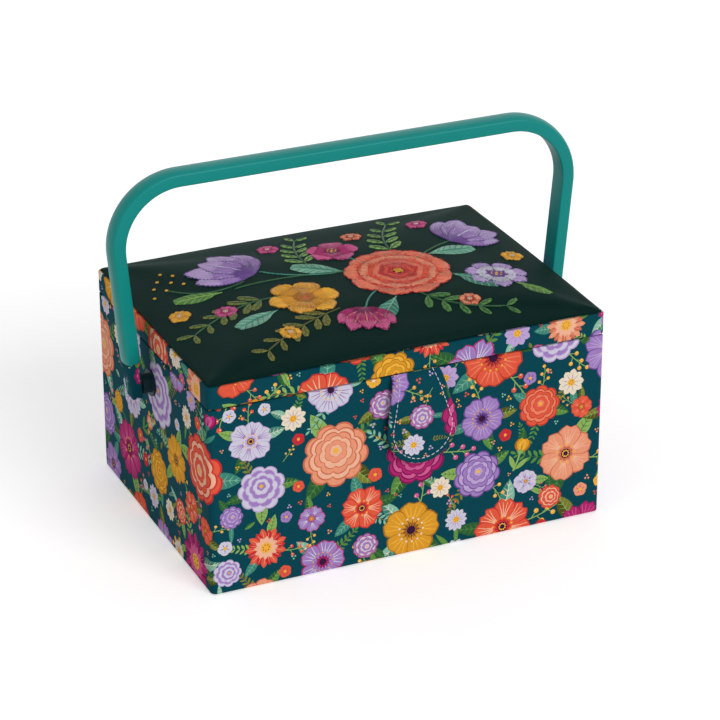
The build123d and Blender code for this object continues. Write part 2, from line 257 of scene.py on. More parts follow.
def printed_cotton(name):
    """Printed plain-weave cotton: matt ink in many colours over fine threads."""
    surface = {"Roughness": 0.85, "Sheen Weight": 0.01, "Sheen Roughness": 0.5, "Specular IOR Level": 0.06}
    material, tree, shader = new_material(name, surface)
    ink = add_node(tree, "ShaderNodeAttribute", {"attribute_name": "ink"}).outputs["Color"]
    cloth = output(tree, "ShaderNodeUVMap", {"uv_map": "cloth"})
    # Thread spacing is 0.35 mm on the real cotton and is drawn at 0.55 mm so that a close view shows it.
    weave = woven(tree, shader, cloth, sizes().weave, 0.00008, 0.5)
    soft = mottled(tree, ink, cloth, 420.0, 0.86, 1.12)
    # The ink is darkened where the weave dips between threads: painted shade in the weave's hollows, on top
    # of the bump's own shading.
    tree.links.new(scaled(tree, soft, ranged(tree, weave, 0.93, 1.04)), shader.inputs["Base Color"])
    return material


def pad_sateen(name):
    """Dyed cotton sateen: dark, close and smooth, with a soft sheen where it turns from the light."""
    surface = {"Roughness": 0.6, "Sheen Weight": 0.06, "Sheen Roughness": 0.4, "Specular IOR Level": 0.03}
    material, tree, shader = new_material(name, surface | {"Sheen Tint": linear("#3F8D84")})
    place = object_place(tree)
    # Sateen threads are about 0.2 mm apart and are drawn at 0.5 mm so that a close view shows them.
    woven(tree, shader, place, 0.0005, 0.00006, 0.35)
    dyed(tree, shader, swatch("pad"), place, 60.0, 0.82, 1.16)
    return material


def embroidery_rayon(name):
    """Rayon machine embroidery thread: bright, silky, shining along each stitch."""
    surface = {"Roughness": 0.45, "Sheen Weight": 0.08, "Sheen Roughness": 0.3, "Specular IOR Level": 0.35}
    material, tree, shader = new_material(name, surface)
    dye = add_node(tree, "ShaderNodeAttribute", {"attribute_name": "thread"}).outputs["Color"]
    tree.links.new(mottled(tree, dye, object_place(tree), 700.0, 0.8, 1.15), shader.inputs["Base Color"])
    return material


def grained(name, surface, colour, size, detail, strength, depth, mottle):
    """An evenly dyed material with a fine grain of a size and depth in metres."""
    material, tree, shader = new_material(name, surface)
    place = object_place(tree)
    raised(tree, shader, speckle(tree, place, 1 / size, detail), strength, depth)
    dyed(tree, shader, colour, place, *mottle)
    return material


def plain_cloth(name, colour, spacing, roughness, sheen):
    """Plain dyed cloth, with its threads at a spacing in metres."""
    surface = {"Roughness": roughness, "Sheen Weight": sheen, "Sheen Roughness": 0.5}
    surface["Specular IOR Level"] = 0.2
    return grained(name, surface, colour, spacing, 2.0, 0.35, 0.00012, (90.0, 0.88, 1.1))


def moulded(name, colour, grain, depth, roughness=0.4, gloss=0.5):
    """Injection-moulded plastic: an even colour, a faint grain from the mould and soft highlights."""
    surface = {"Roughness": roughness, "Specular IOR Level": gloss}
    return grained(name, surface, colour, grain, 4.0, 0.25, depth, (35.0, 0.94, 1.06))


def greyboard(name):
    """Recycled grey bookbinding board: matt, flecked with darker and paler fibres."""
    material, tree, shader = new_material(name, {"Roughness": 0.9})
    fleck = speckle(tree, object_place(tree), 900.0, 5.0)
    ramp = add_node(tree, "ShaderNodeValToRGB", {0: fleck})
    for stop, position, code in zip(ramp.color_ramp.elements, (0.35, 0.65), ("#6F6A62", "#A8A297")):
        stop.position = position
        stop.color = linear(code)
    tree.links.new(ramp.outputs[0], shader.inputs["Base Color"])
    return material


def metal(name, colour, scratch):
    """Plated or bare metal: bright, with fine handling marks."""
    roughness = 0.3
    material, tree, shader = new_material(name, {"Metallic": 1.0, "Base Color": linear(colour)})
    marks = speckle(tree, object_place(tree), 1 / scratch, 6.0)
    tree.links.new(ranged(tree, marks, roughness * 0.8, roughness * 1.3), shader.inputs["Roughness"])
    return material


MATERIALS = {}


def material(name):
    """One of the box's materials, made when it is first asked for."""
    if name not in MATERIALS:
        makers = {
            "printed_plain_weave_cotton": (printed_cotton,),
            "pad_cotton_sateen": (pad_sateen,),
            "embroidery_rayon": (embroidery_rayon,),
            "lining_cotton": (plain_cloth, swatch("lining"), 0.0006, 0.8, 0.15),
            "pincushion_felt": (plain_cloth, linear("#E0604E"), 0.0009, 0.9, 0.4),
            "base_nonwoven": (plain_cloth, linear("#12282B"), 0.0009, 0.85, 0.1),
            "elastic_braid": (plain_cloth, linear("#1A5E63"), 0.0008, 0.75, 0.1),
            "handle_abs": (moulded, swatch("handle"), 0.0007, 0.00003, 0.4, 0.2),
            "tray_polypropylene": (moulded, swatch("tray"), 0.0006, 0.00002),
            "bush_nylon": (moulded, linear("#0B2A30"), 0.0005, 0.00002, 0.5, 0.15),
            "recycled_greyboard": (greyboard,),
            "plated_nickel": (metal, "#A39E93", 0.0008),
            "bright_steel": (metal, "#B9BABB", 0.0006),
        }
        make, *values = makers[name]
        MATERIALS[name] = make(name, *values)
    return MATERIALS[name]


def finish_node(node, name):
    """Gives a CAD node that stays in view its material."""
    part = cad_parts[node]
    part.data.materials.clear()
    part.data.materials.append(material(name))


def new_object(name, mesh):
    """An object at the origin, linked to the scene."""
    piece = bpy.data.objects.new(name, mesh)
    bpy.context.scene.collection.objects.link(piece)
    return piece


def new_mesh(name, verts, edges, faces):
    """A mesh from points in metres."""
    mesh = bpy.data.meshes.new(name)
    mesh.from_pydata([tuple(v) for v in verts], edges, faces)
    return mesh


@contextmanager
def edited(mesh):
    """The mesh opened for editing and written back at the end."""
    edit = bmesh.new()
    edit.from_mesh(mesh)
    yield edit
    edit.to_mesh(mesh)
    edit.free()


def smooth(mesh):
    """Smooth shading over a whole mesh."""
    mesh.polygons.foreach_set("use_smooth", [True] * len(mesh.polygons))


def dress(piece, body=None, nodes=()):
    """Hides the nodes that a piece stands for and hangs the piece on the body that it rides on."""
    if nodes:
        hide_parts(*nodes)
    if body:
        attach(piece, body)


# Shapes of the print, in millimetres, each a closed outline with a tone


def moved(points, turn, x=0.0, y=0.0, size=1.0):
    """Points turned about their origin, scaled and moved."""
    c, s = math.cos(turn) * size, math.sin(turn) * size
    return [(x + px * c - py * s, y + px * s + py * c) for px, py in points]


def turns(count):
    """The angles of a ring of evenly spaced things."""
    return [2 * math.pi * k / count for k in range(count)]


def spot_at(x, y, reach, turn):
    """The place at a distance and angle from another."""
    return x + reach * math.cos(turn), y + reach * math.sin(turn)


def disc(radius, x=0.0, y=0.0, steps=12):
    """A round dot."""
    return [spot_at(x, y, radius, turn) for turn in turns(steps)]


def dotted_ring(count, size, reach, steps, tone):
    """A ring of small dots round the origin."""
    return [(disc(size, *spot_at(0, 0, reach, turn), steps), tone) for turn in turns(count)]


def blade(length, width, fullness=1.0, steps=8, power=0.8):
    """A petal or leaf lying along +X from the origin; more fullness puts its widest part nearer the tip."""
    upper = []
    for k in range(1, steps):
        t = k / steps
        upper.append((length * t, width / 2 * math.sin(math.pi * t**fullness) ** power))
    return [(0.0, 0.0)] + [(x, -y) for x, y in upper] + [(length, 0.0)] + upper[::-1]


def petal(length, width, notch=0.1):
    """A broad petal along +X: narrow at its foot, widest near its tip, which has a shallow notch."""
    side = blade(length, width, 1.9, 10, 0.55)
    lower, upper = side[1:10], side[11:]
    cheek = length, width * 0.2
    return [(0.0, 0.0)] + lower + [(cheek[0], -cheek[1]), (length * (1 - notch), 0.0), cheek] + upper


def stroke(points, width, end=0.35):
    """A line of ink along points that thins to its end."""
    left, right = [], []
    last = len(points) - 1
    for k, (x, y) in enumerate(points):
        ax, ay = points[max(k - 1, 0)]
        bx, by = points[min(k + 1, last)]
        length = math.hypot(bx - ax, by - ay) or 1.0
        half = width / 2 * (1 - (1 - end) * k / last)
        left.append((x - (by - ay) / length * half, y + (bx - ax) / length * half))
        right.append((x + (by - ay) / length * half, y - (bx - ax) / length * half))
    return right + left[::-1]


def lobed(radius, lobes, depth, phase=0.0, steps=7, power=0.6):
    """A scalloped round outline with a notch between lobes."""
    points = []
    for k in range(lobes * steps):
        turn = 2 * math.pi * k / (lobes * steps)
        reach = 1 - depth + depth * abs(math.sin(lobes * turn / 2)) ** power
        points.append(spot_at(0, 0, radius * reach, turn + phase))
    return points


def open_bloom(rng, radius, petals, main, light, dark, heart, dots):
    """Separate notched petals with fine veins round a dotted heart."""
    shapes = []
    step = 2 * math.pi / petals
    width = 1.62 * radius * math.sin(step / 2)
    for k in range(petals):
        turn = k * step + rng.uniform(-0.06, 0.06)
        reach = radius * rng.uniform(0.9, 1.05)
        notch = rng.uniform(0.04, 0.12)
        shapes.append((moved(petal(reach, width * 1.06, notch), turn), dark))
        shapes.append((moved(petal(reach * 0.97, width * 0.96, notch), turn), main))
        for lean in (-0.24, -0.08, 0.08, 0.24):
            bends = ((0.34, 0.2), (0.6, 0.5), (0.86, 1.0))
            vein = [(reach * along, lean * reach * out) for along, out in bends]
            shapes.append((moved(stroke(vein, radius * 0.045), turn), light))
    shapes.append((lobed(radius * 0.27, 9, 0.2, steps=4), dark))
    shapes.append((disc(radius * 0.17), heart))
    for turn in turns(9):
        for size, reach, steps in ((0.042, 0.33, 6), (0.035, 0.1056, 5)):
            shapes.append((disc(radius * size, *spot_at(0, 0, radius * reach, turn), steps), dots))
    return shapes


def rosette(rng, radius, main, light, dark, heart):
    """A full double flower: scalloped rings inside each other, with crescents of shade between them."""
    shapes = []
    slide = rng.uniform(0, 6.28)
    for ring, (share, lobes) in enumerate(((1.0, 9), (0.84, 8), (0.68, 8), (0.52, 7), (0.36, 6), (0.2, 5))):
        x, y = spot_at(0, 0, (1 - share) * radius * 0.16, slide)
        phase = rng.uniform(0, 6.28)
        for size, tone in ((1.04, dark), (0.98, light if ring % 2 else main)):
            shapes.append((moved(lobed(radius * share * size, lobes, 0.14, phase, 6), 0, x, y), tone))
    shapes.append((moved(disc(radius * 0.09, steps=8), 0, x, y), heart))
    return shapes


def star_bloom(rng, radius, rays, main, light, dark, heart):
    """Two rounds of narrow rays with a dotted cushion in the middle."""
    shapes = []
    for k, turn in enumerate(turns(rays)):
        turn += rng.uniform(-0.03, 0.03)
        reach = radius * (1.0 if k % 2 else 0.9)
        shapes.append((moved(blade(reach, 5.4 * radius / rays, 1.9, 7, 0.7), turn), main if k % 2 else dark))
        shapes.append((moved(stroke([(reach * 0.3, 0), (reach * 0.85, 0)], radius * 0.03), turn), light))
    inner = rays // 2 + 3
    for k in range(inner):
        ray = blade(radius * 0.58, radius * 0.22, 1.7, 5, 0.7)
        shapes.append((moved(ray, 2 * math.pi * (k + 0.5) / inner), light))
    shapes.append((lobed(radius * 0.27, 10, 0.12, steps=3), heart))
    return shapes + dotted_ring(7, radius * 0.035, radius * 0.15, 6, dark)


def stamen_bloom(rng, radius, main, light, dark, heart, dots):
    """Five wide petals that overlap at the foot, with a deep heart and a ring of stamens."""
    shapes = []
    for turn in turns(5):
        turn += rng.uniform(-0.08, 0.08)
        reach = radius * rng.uniform(0.94, 1.04)
        shapes.append((moved(petal(reach, radius * 1.0, 0.05), turn), dark))
        shapes.append((moved(petal(reach * 0.96, radius * 0.9, 0.05), turn), main))
        for lean in (-0.33, -0.11, 0.11, 0.33):
            vein = [(radius * 0.46, radius * lean * 0.4), (radius * 0.84, radius * lean)]
            shapes.append((moved(stroke(vein, radius * 0.05), turn), light))
    shapes.append((lobed(radius * 0.3, 11, 0.25, steps=3), dark))
    for turn in turns(13):
        shapes.append((moved(stroke([(0, 0), (radius * 0.4, 0)], radius * 0.035), turn), heart))
        shapes.append((disc(radius * 0.04, *spot_at(0, 0, radius * 0.42, turn), 6), dots))
    shapes.append((disc(radius * 0.15), heart))
    return shapes


def daisy(rng, radius, rays, main, shade, heart, dots):
    """Rounded separate rays round a raised yellow heart."""
    shapes = []
    for turn in turns(rays):
        turn += rng.uniform(-0.04, 0.04)
        reach = radius * rng.uniform(0.92, 1.0)
        shapes.append((moved(blade(reach, 4.7 * radius / rays, 1.6, 7, 0.6), turn), main))
        shapes.append((moved(stroke([(reach * 0.3, 0), (reach * 0.72, 0)], radius * 0.05), turn), shade))
    shapes.append((disc(radius * 0.27), heart))
    return shapes + dotted_ring(5, radius * 0.045, radius * 0.14, 5, dots)


def small_bloom(radius, main, heart, dots):
    """Five round petals and a dot."""
    shapes = []
    vein = stroke([(radius * 0.25, 0), (radius * 0.62, 0)], radius * 0.1)
    for turn in turns(5):
        shapes.append((moved(blade(radius, radius * 0.98, 1.7, 6, 0.5), turn), main))
        shapes.append((moved(vein, turn), heart))
    shapes.append((disc(radius * 0.24, steps=8), dots))
    return shapes


def cup_bloom(radius, main, light, dark, green):
    """A cup-shaped flower from the side on a short stem with two long leaves."""
    stem = [(-radius * 1.35, 0.1 * radius), (-radius * 0.6, 0), (0, 0)]
    shapes = [(stroke(stem, radius * 0.13, 1.0), green)]
    for side in (-1, 1):
        leaflet = blade(radius * 1.15, radius * 0.34, 1.0, 6)
        shapes.append((moved(leaflet, side * 0.65, -radius * 1.25), green))
    for length, width, fullness, turn, tone in (
        (1.05, 0.62, 1.2, -0.42, dark),
        (1.05, 0.62, 1.2, 0.42, dark),
        (1.08, 0.6, 1.3, 0.2, main),
        (1.08, 0.6, 1.3, -0.2, main),
        (0.98, 0.5, 1.3, 0, light),
    ):
        cup_petal = blade(radius * length, radius * width, fullness, 8, 0.7)
        shapes.append((moved(cup_petal, turn, -0.1 * radius), tone))
    for lean in (-0.1, 0.0, 0.1):
        shapes.append((stroke([(radius * 0.1, 0), (radius * 0.7, radius * lean)], radius * 0.045), dark))
    shapes.append((lobed(radius * 0.2, 5, 0.2, steps=3), green))
    return shapes


def leaf(length, width, main, vein, half=None):
    """A pointed leaf with a midrib and slanting veins."""
    outline = blade(length, width, 0.85, 9, 0.9)
    shapes = [(outline, main)]
    if half:
        shapes.append(([(x, y) for x, y in outline if y >= -1e-6], half))
    shapes.append((stroke([(0, 0), (length * 0.92, 0)], width * 0.07), vein))
    for k in range(1, 5):
        at = length * (0.14 + 0.16 * k)
        out = width * 0.36 * math.sin(math.pi * (0.2 + 0.16 * k) ** 0.85)
        for side in (-1, 1):
            shapes.append((stroke([(at, 0), (at + length * 0.1, side * out)], width * 0.05), vein))
    return shapes


def bent_stem(length, bend, steps=6):
    """Points along a stem that curves to one side."""
    return [(length * k / steps, bend * length * (k / steps) ** 2) for k in range(steps + 1)]


def frond(length, bend, pairs, main, stem):
    """A curved stem with pairs of small leaflets."""
    line = bent_stem(length, bend)
    shapes = [(stroke(line, length * 0.035, 0.5), stem)]
    for k in range(pairs):
        t = (k + 1.0) / (pairs + 0.4)
        along = math.atan2(2 * bend * t, 1.0)
        size = length * (0.3 - 0.14 * t)
        for side in (-1, 1):
            leaflet = blade(size, size * 0.38, 1.1, 5)
            shapes.append((moved(leaflet, along + side * 0.85, length * t, bend * length * t * t), main))
    tip = blade(length * 0.2, length * 0.085, 1.1, 5)
    shapes.append((moved(tip, math.atan2(2 * bend, 1.0), *line[-1]), main))
    return shapes


def berry_twig(length, bend, berry, stem, glint):
    """A thin branching twig with a berry at each end."""
    shapes = [(stroke(bent_stem(length, bend), length * 0.035, 0.6), stem)]
    for k in range(5):
        t = 0.35 + 0.15 * k
        x, y = length * t, bend * length * t * t
        side = -1 if k % 2 else 1
        tip = (x + length * 0.14, y + side * length * 0.2 * (1.25 - t))
        shapes.append((stroke([(x, y), tip], length * 0.024, 0.8), stem))
        shapes.append((disc(length * 0.066, *tip, 9), berry))
        shapes.append((disc(length * 0.02, tip[0] - length * 0.02, tip[1] + length * 0.02, 5), glint))
    return shapes


BLOOM_TONES = (
    ("coral", "coral_light", "coral_dark"),
    ("magenta", "magenta_light", "magenta_dark"),
    ("mustard", "yellow", "ochre"),
    ("peach", "peach_light", "peach_dark"),
    ("lavender", "lavender_light", "lavender_dark"),
    ("lilac_white", "lavender", "lavender_light"),
    ("coral", "peach_light", "red"),
    ("lavender", "lilac_white", "magenta"),
)
LEAF_TONES = (
    ("leaf", "leaf_light", "leaf_dark"),
    ("mint", "cream", "mint_dark"),
    ("leaf_dark", "leaf", None),
    ("olive", "leaf_light", "olive_dark"),
    ("leaf_light", "leaf_dark", None),
    ("mint_dark", "mint", None),
)


def large_flower(rng, radius, kind, tones):
    """One of the print's large flowers."""
    main = tones[0]
    seeds = "yellow" if main != "mustard" else ("coral" if kind == 1 else "cream")
    if kind == 0:
        return open_bloom(rng, radius, rng.choice((6, 7, 8)), *tones, "plum", "yellow")
    if kind == 1:
        return rosette(rng, radius, *tones, seeds)
    if kind == 2:
        return star_bloom(rng, radius, rng.choice((16, 18, 20)), *tones, "yellow")
    return stamen_bloom(rng, radius, *tones, "plum", seeds)


def medium_flower(rng, radius, kind, tones):
    """One of the print's middle-sized flowers."""
    if kind == 0:
        pale = rng.choice(("lilac_white", "cream", "lavender_light"))
        return daisy(rng, radius, rng.choice((9, 10, 12)), pale, "lavender", "yellow", "ochre")
    if kind == 1:
        return cup_bloom(radius * 1.15, *tones, rng.choice(("leaf", "mint_dark", "leaf_light")))
    if kind == 2:
        return rosette(rng, radius * 0.9, *tones, "yellow" if tones[0] != "mustard" else "coral")
    return open_bloom(rng, radius, 5, *tones, "yellow", "plum")


def foliage(rng, kind, length):
    """A leaf or sprig that grows along +X."""
    main, vein, half = rng.choice(LEAF_TONES)
    if kind == 0:
        return leaf(length, length * rng.uniform(0.4, 0.5), main, vein, half)
    if kind == 1:
        green = rng.choice(("leaf", "olive", "leaf_light", "mint"))
        return frond(length * 1.15, rng.uniform(-0.35, 0.35), 5, green, rng.choice(("leaf_dark", "olive")))
    if kind == 2:
        berry = rng.choice(("coral", "mustard", "magenta_light", "yellow"))
        return berry_twig(length * 1.2, rng.uniform(-0.3, 0.3), berry, "leaf_light", "cream")
    return leaf(length * 1.2, length * 0.28, main, vein)


# The print's repeat, once round the box and as high as the cloth needs, and the cells that sort its motifs
ROUND = 2 * (2 * HALF_STRAIGHT_X + 2 * HALF_STRAIGHT_Y + math.pi * CORNER)
FIELD_HEIGHT = 178.0
CELLS = 22


def gap_round(a, b):
    """Distance between two places on the cloth, which meets itself round the box."""
    across = abs(a[0] - b[0]) % ROUND
    return math.hypot(min(across, ROUND - across), a[1] - b[1])


def scatter(rng, placed, low, high, tries, spare):
    """Drops circles of random radius where they clear those placed before, which are kept in square cells."""
    dropped = []
    cell = ROUND / CELLS
    for _ in range(tries):
        radius = rng.uniform(low, high)
        spot = (rng.uniform(0, ROUND), rng.uniform(-14, FIELD_HEIGHT), radius)
        i, j = int(spot[0] / cell), int(spot[1] // cell)
        around = [((i + di) % CELLS, j + dj) for di in (-1, 0, 1) for dj in (-1, 0, 1)]
        near = [other for place in around for other in placed.get(place, ())]
        if all(gap_round(spot, other) > spare * (radius + other[2]) for other in near):
            placed.setdefault((i, j), []).append(spot)
            dropped.append(spot)
    return dropped


def laid(motif, turn, x, y):
    """A motif's shapes turned and carried to a place."""
    return [(moved(points, turn, x, y), tone) for points, tone in motif]


def print_field():
    """The whole repeat of the print as (outline, tone) in drawing order, in millimetres on the flat cloth."""
    rng = random.Random(sizes().print_seed)
    placed = {}
    given = sizes()
    big, middle, little = (size / MM for size in (given.large_bloom, given.medium_bloom, given.small_bloom))
    large = scatter(rng, placed, big * 1.15, big * 1.28, 90, 1.3)
    large += scatter(rng, placed, big * 0.8, big * 1.04, 5000, 1.12)
    medium = scatter(rng, placed, middle * 0.82, middle * 1.15, 9000, 1.06)
    small = scatter(rng, placed, little * 0.8, little * 1.15, 7000, 1.12)
    dots = scatter(rng, placed, 1.4, 2.2, 3500, 1.15)
    under, over = [], []
    for k, (x, y, radius) in enumerate(large):
        turn = rng.uniform(0, 6.28)
        for arm in range(4):
            angle = turn + arm * 1.57 + rng.uniform(-0.5, 0.5)
            sprig = foliage(rng, (0, 0, 1, 0, 2)[(k + arm) % 5], radius * 1.08)
            under += laid(sprig, angle, *spot_at(x, y, radius * 0.55, angle))
    for k, (x, y, radius) in enumerate(medium):
        for arm in range(2):
            angle = rng.uniform(0, 6.28)
            sprig = foliage(rng, (0, 1, 0, 3, 2)[(k + arm) % 5], radius * 1.4)
            under += laid(sprig, angle, *spot_at(x, y, radius * 0.5, angle))
    for k, (x, y, radius) in enumerate(small):
        if k % 3 == 0:
            size, angle = radius * 1.9, rng.uniform(0, 6.28)
            sprig = foliage(rng, rng.choice((0, 1, 2, 1)), size)
            over += laid(sprig, angle, *spot_at(x, y, -size / 2, angle))
            continue
        main = rng.choice(("coral", "yellow", "lavender", "magenta_light", "peach", "lilac_white", "red"))
        heart = "plum" if main in ("lavender", "lilac_white", "magenta_light") else "magenta"
        for points, tone in small_bloom(radius, main, heart, "cream" if main == "yellow" else "yellow"):
            over.append((moved(points, rng.uniform(0, 0.1) + k, x, y), tone))
    for k, (x, y, radius) in enumerate(dots):
        tone = ("coral", "yellow", "mint", "lavender_light", "peach")[k % 5]
        for arm in range(3):
            over.append((disc(radius * 0.36, *spot_at(x, y, radius * 0.6, 2.1 * arm + k), 6), tone))
    for k, (x, y, radius) in enumerate(medium):
        tones = BLOOM_TONES[rng.randrange(len(BLOOM_TONES))]
        over += laid(medium_flower(rng, radius, (0, 1, 2, 0, 3)[k % 5], tones), k * 2.4, x, y)
    deck = []
    for k, (x, y, radius) in enumerate(large):
        if not deck:
            deck = list(BLOOM_TONES)
            rng.shuffle(deck)
        over += laid(large_flower(rng, radius, (0, 1, 3, 0, 2, 3, 1)[k % 7], deck.pop()), k * 1.7, x, y)
    field = []
    for points, tone in under + over:
        reach = [p[0] for p in points]
        for turn in (-ROUND, 0.0, ROUND):
            if max(reach) + turn > -160 and min(reach) + turn < ROUND + 160:
                field.append(([(px + turn, py) for px, py in points], tone))
    return field


class Fold:
    """A cloth's section: a line of (outwards, height) points that is followed by its length."""

    def __init__(self, points, start=0.0):
        self.points = points
        self.marks = [start]
        for a, b in zip(points, points[1:]):
            self.marks.append(self.marks[-1] + math.hypot(b[0] - a[0], b[1] - a[1]))

    def at(self, v):
        """The point at a length along the section."""
        for k in range(1, len(self.marks)):
            if v <= self.marks[k] or k == len(self.marks) - 1:
                low, high = self.marks[k - 1], self.marks[k]
                t = (v - low) / (high - low)
                a, b = self.points[k - 1], self.points[k]
                return a[0] + (b[0] - a[0]) * t, a[1] + (b[1] - a[1]) * t
        return self.points[-1]


def quarter(centre, radius, start, end, steps=4):
    """Points on an arc between two angles in degrees."""
    angles = [math.radians(start + (end - start) * k / steps) for k in range(steps + 1)]
    return [spot_at(*centre, radius, angle) for angle in angles]


def plan_point(u, n):
    """A place on the rounded outline: u runs to the right from the front's middle, n is outwards."""
    u %= ROUND
    sides = (
        (HALF_STRAIGHT_X, (0.0, -1.0), (1.0, 0.0), (0.0, -HALF_DEPTH)),
        (2 * HALF_STRAIGHT_Y, (1.0, 0.0), (0.0, 1.0), (HALF_WIDTH, -HALF_STRAIGHT_Y)),
        (2 * HALF_STRAIGHT_X, (0.0, 1.0), (-1.0, 0.0), (HALF_STRAIGHT_X, HALF_DEPTH)),
        (2 * HALF_STRAIGHT_Y, (-1.0, 0.0), (0.0, -1.0), (-HALF_WIDTH, HALF_STRAIGHT_Y)),
        (HALF_STRAIGHT_X, (0.0, -1.0), (1.0, 0.0), (-HALF_STRAIGHT_X, -HALF_DEPTH)),
    )
    for k, (length, normal, along, start) in enumerate(sides):
        if u <= length or k == 4:
            x, y = (start[i] + along[i] * u + normal[i] * n for i in (0, 1))
            break
        u -= length
        if u <= CORNER_ARC:
            turn = u / CORNER
            reach = max(CORNER + n, 0.0)
            centre = [start[i] + along[i] * length - normal[i] * CORNER for i in (0, 1)]
            aim = [normal[i] * math.cos(turn) + along[i] * math.sin(turn) for i in (0, 1)]
            x, y = (centre[i] + reach * aim[i] for i in (0, 1))
            break
        u -= CORNER_ARC
    wide, deep = HALF_WIDTH + n, HALF_DEPTH + n
    return max(-wide, min(wide, x)), max(-deep, min(deep, y))


def corner_lines(steps=8):
    """The u of each step round the four corners, also a turn before and after."""
    lines, u = [], 0.0
    for length in (HALF_STRAIGHT_X, 2 * HALF_STRAIGHT_Y, 2 * HALF_STRAIGHT_X, 2 * HALF_STRAIGHT_Y):
        u += length
        lines += [u + CORNER_ARC * k / steps for k in range(steps + 1)]
        u += CORNER_ARC
    return [x + turn for turn in (-ROUND, 0.0, ROUND) for x in lines]


def cut_shapes(area, field, lines_u, lines_v, outline=None, tile=52.0):
    """Cuts overlapping shapes into triangles that keep the topmost tone, tile by tile.

    Gives (points, triangles, tones, area) on the flat cloth. outline limits the result to a closed shape.
    """
    u0, u1, v0, v1 = area
    boxes = []
    for points, _ in field:
        us, vs = zip(*points)
        boxes.append((min(us), max(us), min(vs), max(vs)))
    across = max(1, round((u1 - u0) / tile))
    upwards = max(1, round((v1 - v0) / tile))
    index, verts, faces, tones = {}, [], [], []
    for i in range(across):
        for j in range(upwards):
            a, b = u0 + (u1 - u0) * i / across, u0 + (u1 - u0) * (i + 1) / across
            c, d = v0 + (v1 - v0) * j / upwards, v0 + (v1 - v0) * (j + 1) / upwards
            cuts = [((u, c), (u, d)) for u in lines_u if a < u < b]
            cuts += [((a, v), (b, v)) for v in lines_v if c < v < d]
            loops, drawn = ([outline] if outline else []), []
            first_drawn = 1 + len(loops)
            for (points, tone), (left, right, bottom, top) in zip(field, boxes):
                if left <= b and right >= a and bottom <= d and top >= c:
                    loops.append(points)
                    drawn.append(tone)
            cdt_verts = [Vector(p) for p in ((a, c), (b, c), (b, d), (a, d))]
            cdt_verts += [Vector(p) for cut in cuts for p in cut]
            cdt_edges = [(4 + 2 * k, 5 + 2 * k) for k in range(len(cuts))]
            cdt_faces = [[0, 1, 2, 3]]
            for points in loops:
                cdt_faces.append(list(range(len(cdt_verts), len(cdt_verts) + len(points))))
                cdt_verts += [Vector(p) for p in points]
            out_verts, _, out_faces, _, _, origins = delaunay_2d_cdt(cdt_verts, cdt_edges, cdt_faces, 1, 1e-4)
            for face, inside in zip(out_faces, origins):
                if 0 not in inside or (outline and 1 not in inside):
                    continue
                ids = []
                for x, y in (out_verts[k] for k in face):
                    key = (round(x, 3), round(y, 3))
                    if key not in index:
                        index[key] = len(verts)
                        verts.append((x, y))
                    ids.append(index[key])
                if len(set(ids)) == len(ids):
                    top = max(inside)
                    faces.append(ids)
                    tones.append(drawn[top - first_drawn] if top >= first_drawn else "ground")
    return verts, faces, tones, area


def printed_piece(name, strips, place):
    """A printed cloth made of flat strips; place takes (u, v, strip) to millimetres in the frame.

    Each strip is (points, triangles, tones, area). The print's colour is a face attribute, the cloth's own
    length and width are the UV map cloth in metres, and OFBake lays the strips out one above another.
    """
    verts, faces, tones, flat, bake = [], [], [], [], []
    rows = len(strips)
    for row, (points, triangles, shades, area) in enumerate(strips):
        start = len(verts)
        u0, u1, v0, v1 = area
        for u, v in points:
            verts.append(Vector(place(u, v, row)) * MM)
            flat.append((u * MM, v * MM))
            bake.append(((u - u0) / (u1 - u0), (row + 0.01 + 0.98 * (v - v0) / (v1 - v0)) / rows))
        faces += [[start + k for k in face] for face in triangles]
        tones += shades
    mesh = new_mesh(name, verts, [], faces)
    ink = mesh.attributes.new("ink", "FLOAT_COLOR", "FACE")
    inks = {tone: linear(code) for tone, code in TONES.items()}
    ink.data.foreach_set("color", [c for tone in tones for c in inks[tone]])
    loops = [0] * len(mesh.loops)
    mesh.loops.foreach_get("vertex_index", loops)
    for label, source in (("OFBake", bake), ("cloth", flat)):
        layer = mesh.uv_layers.new(name=label)
        layer.data.foreach_set("uv", [c for k in loops for c in source[k]])
    with edited(mesh) as edit:
        bmesh.ops.remove_doubles(edit, verts=edit.verts, dist=2e-6)
        bmesh.ops.dissolve_degenerate(edit, dist=1e-6, edges=edit.edges)
    smooth(mesh)
    mesh.materials.append(material("printed_plain_weave_cotton"))
    return new_object(name, mesh)


def field_moved(field, du, dv):
    """The print slid along the cloth, so that each piece is cut from another place."""
    return [([(x + du, y + dv) for x, y in points], tone) for points, tone in field]


CACHE = {}


def print_repeat():
    """The print's repeat, drawn once."""
    if "field" not in CACHE:
        CACHE["field"] = print_field()
    return CACHE["field"]


def side_ranges():
    """Where the four sides of a wrap start and end: the front and back carry the corners."""
    beyond = HALF_STRAIGHT_X + CORNER_ARC + WRAP_PAST_CORNER
    side = 2 * HALF_STRAIGHT_Y - 2 * WRAP_PAST_CORNER
    ranges, u = [], -beyond
    for name, length in (("front", 2 * beyond), ("right", side), ("back", 2 * beyond), ("left", side)):
        ranges.append((name, u, u + length))
        u += length
    return ranges


def wrapped(fold):
    """Carries a flat place on the cloth to the box: u round its outline, v along the fold."""

    def place(u, v, _):
        n, z = fold.at(v)
        return plan_point(u, n) + (z,)

    return place


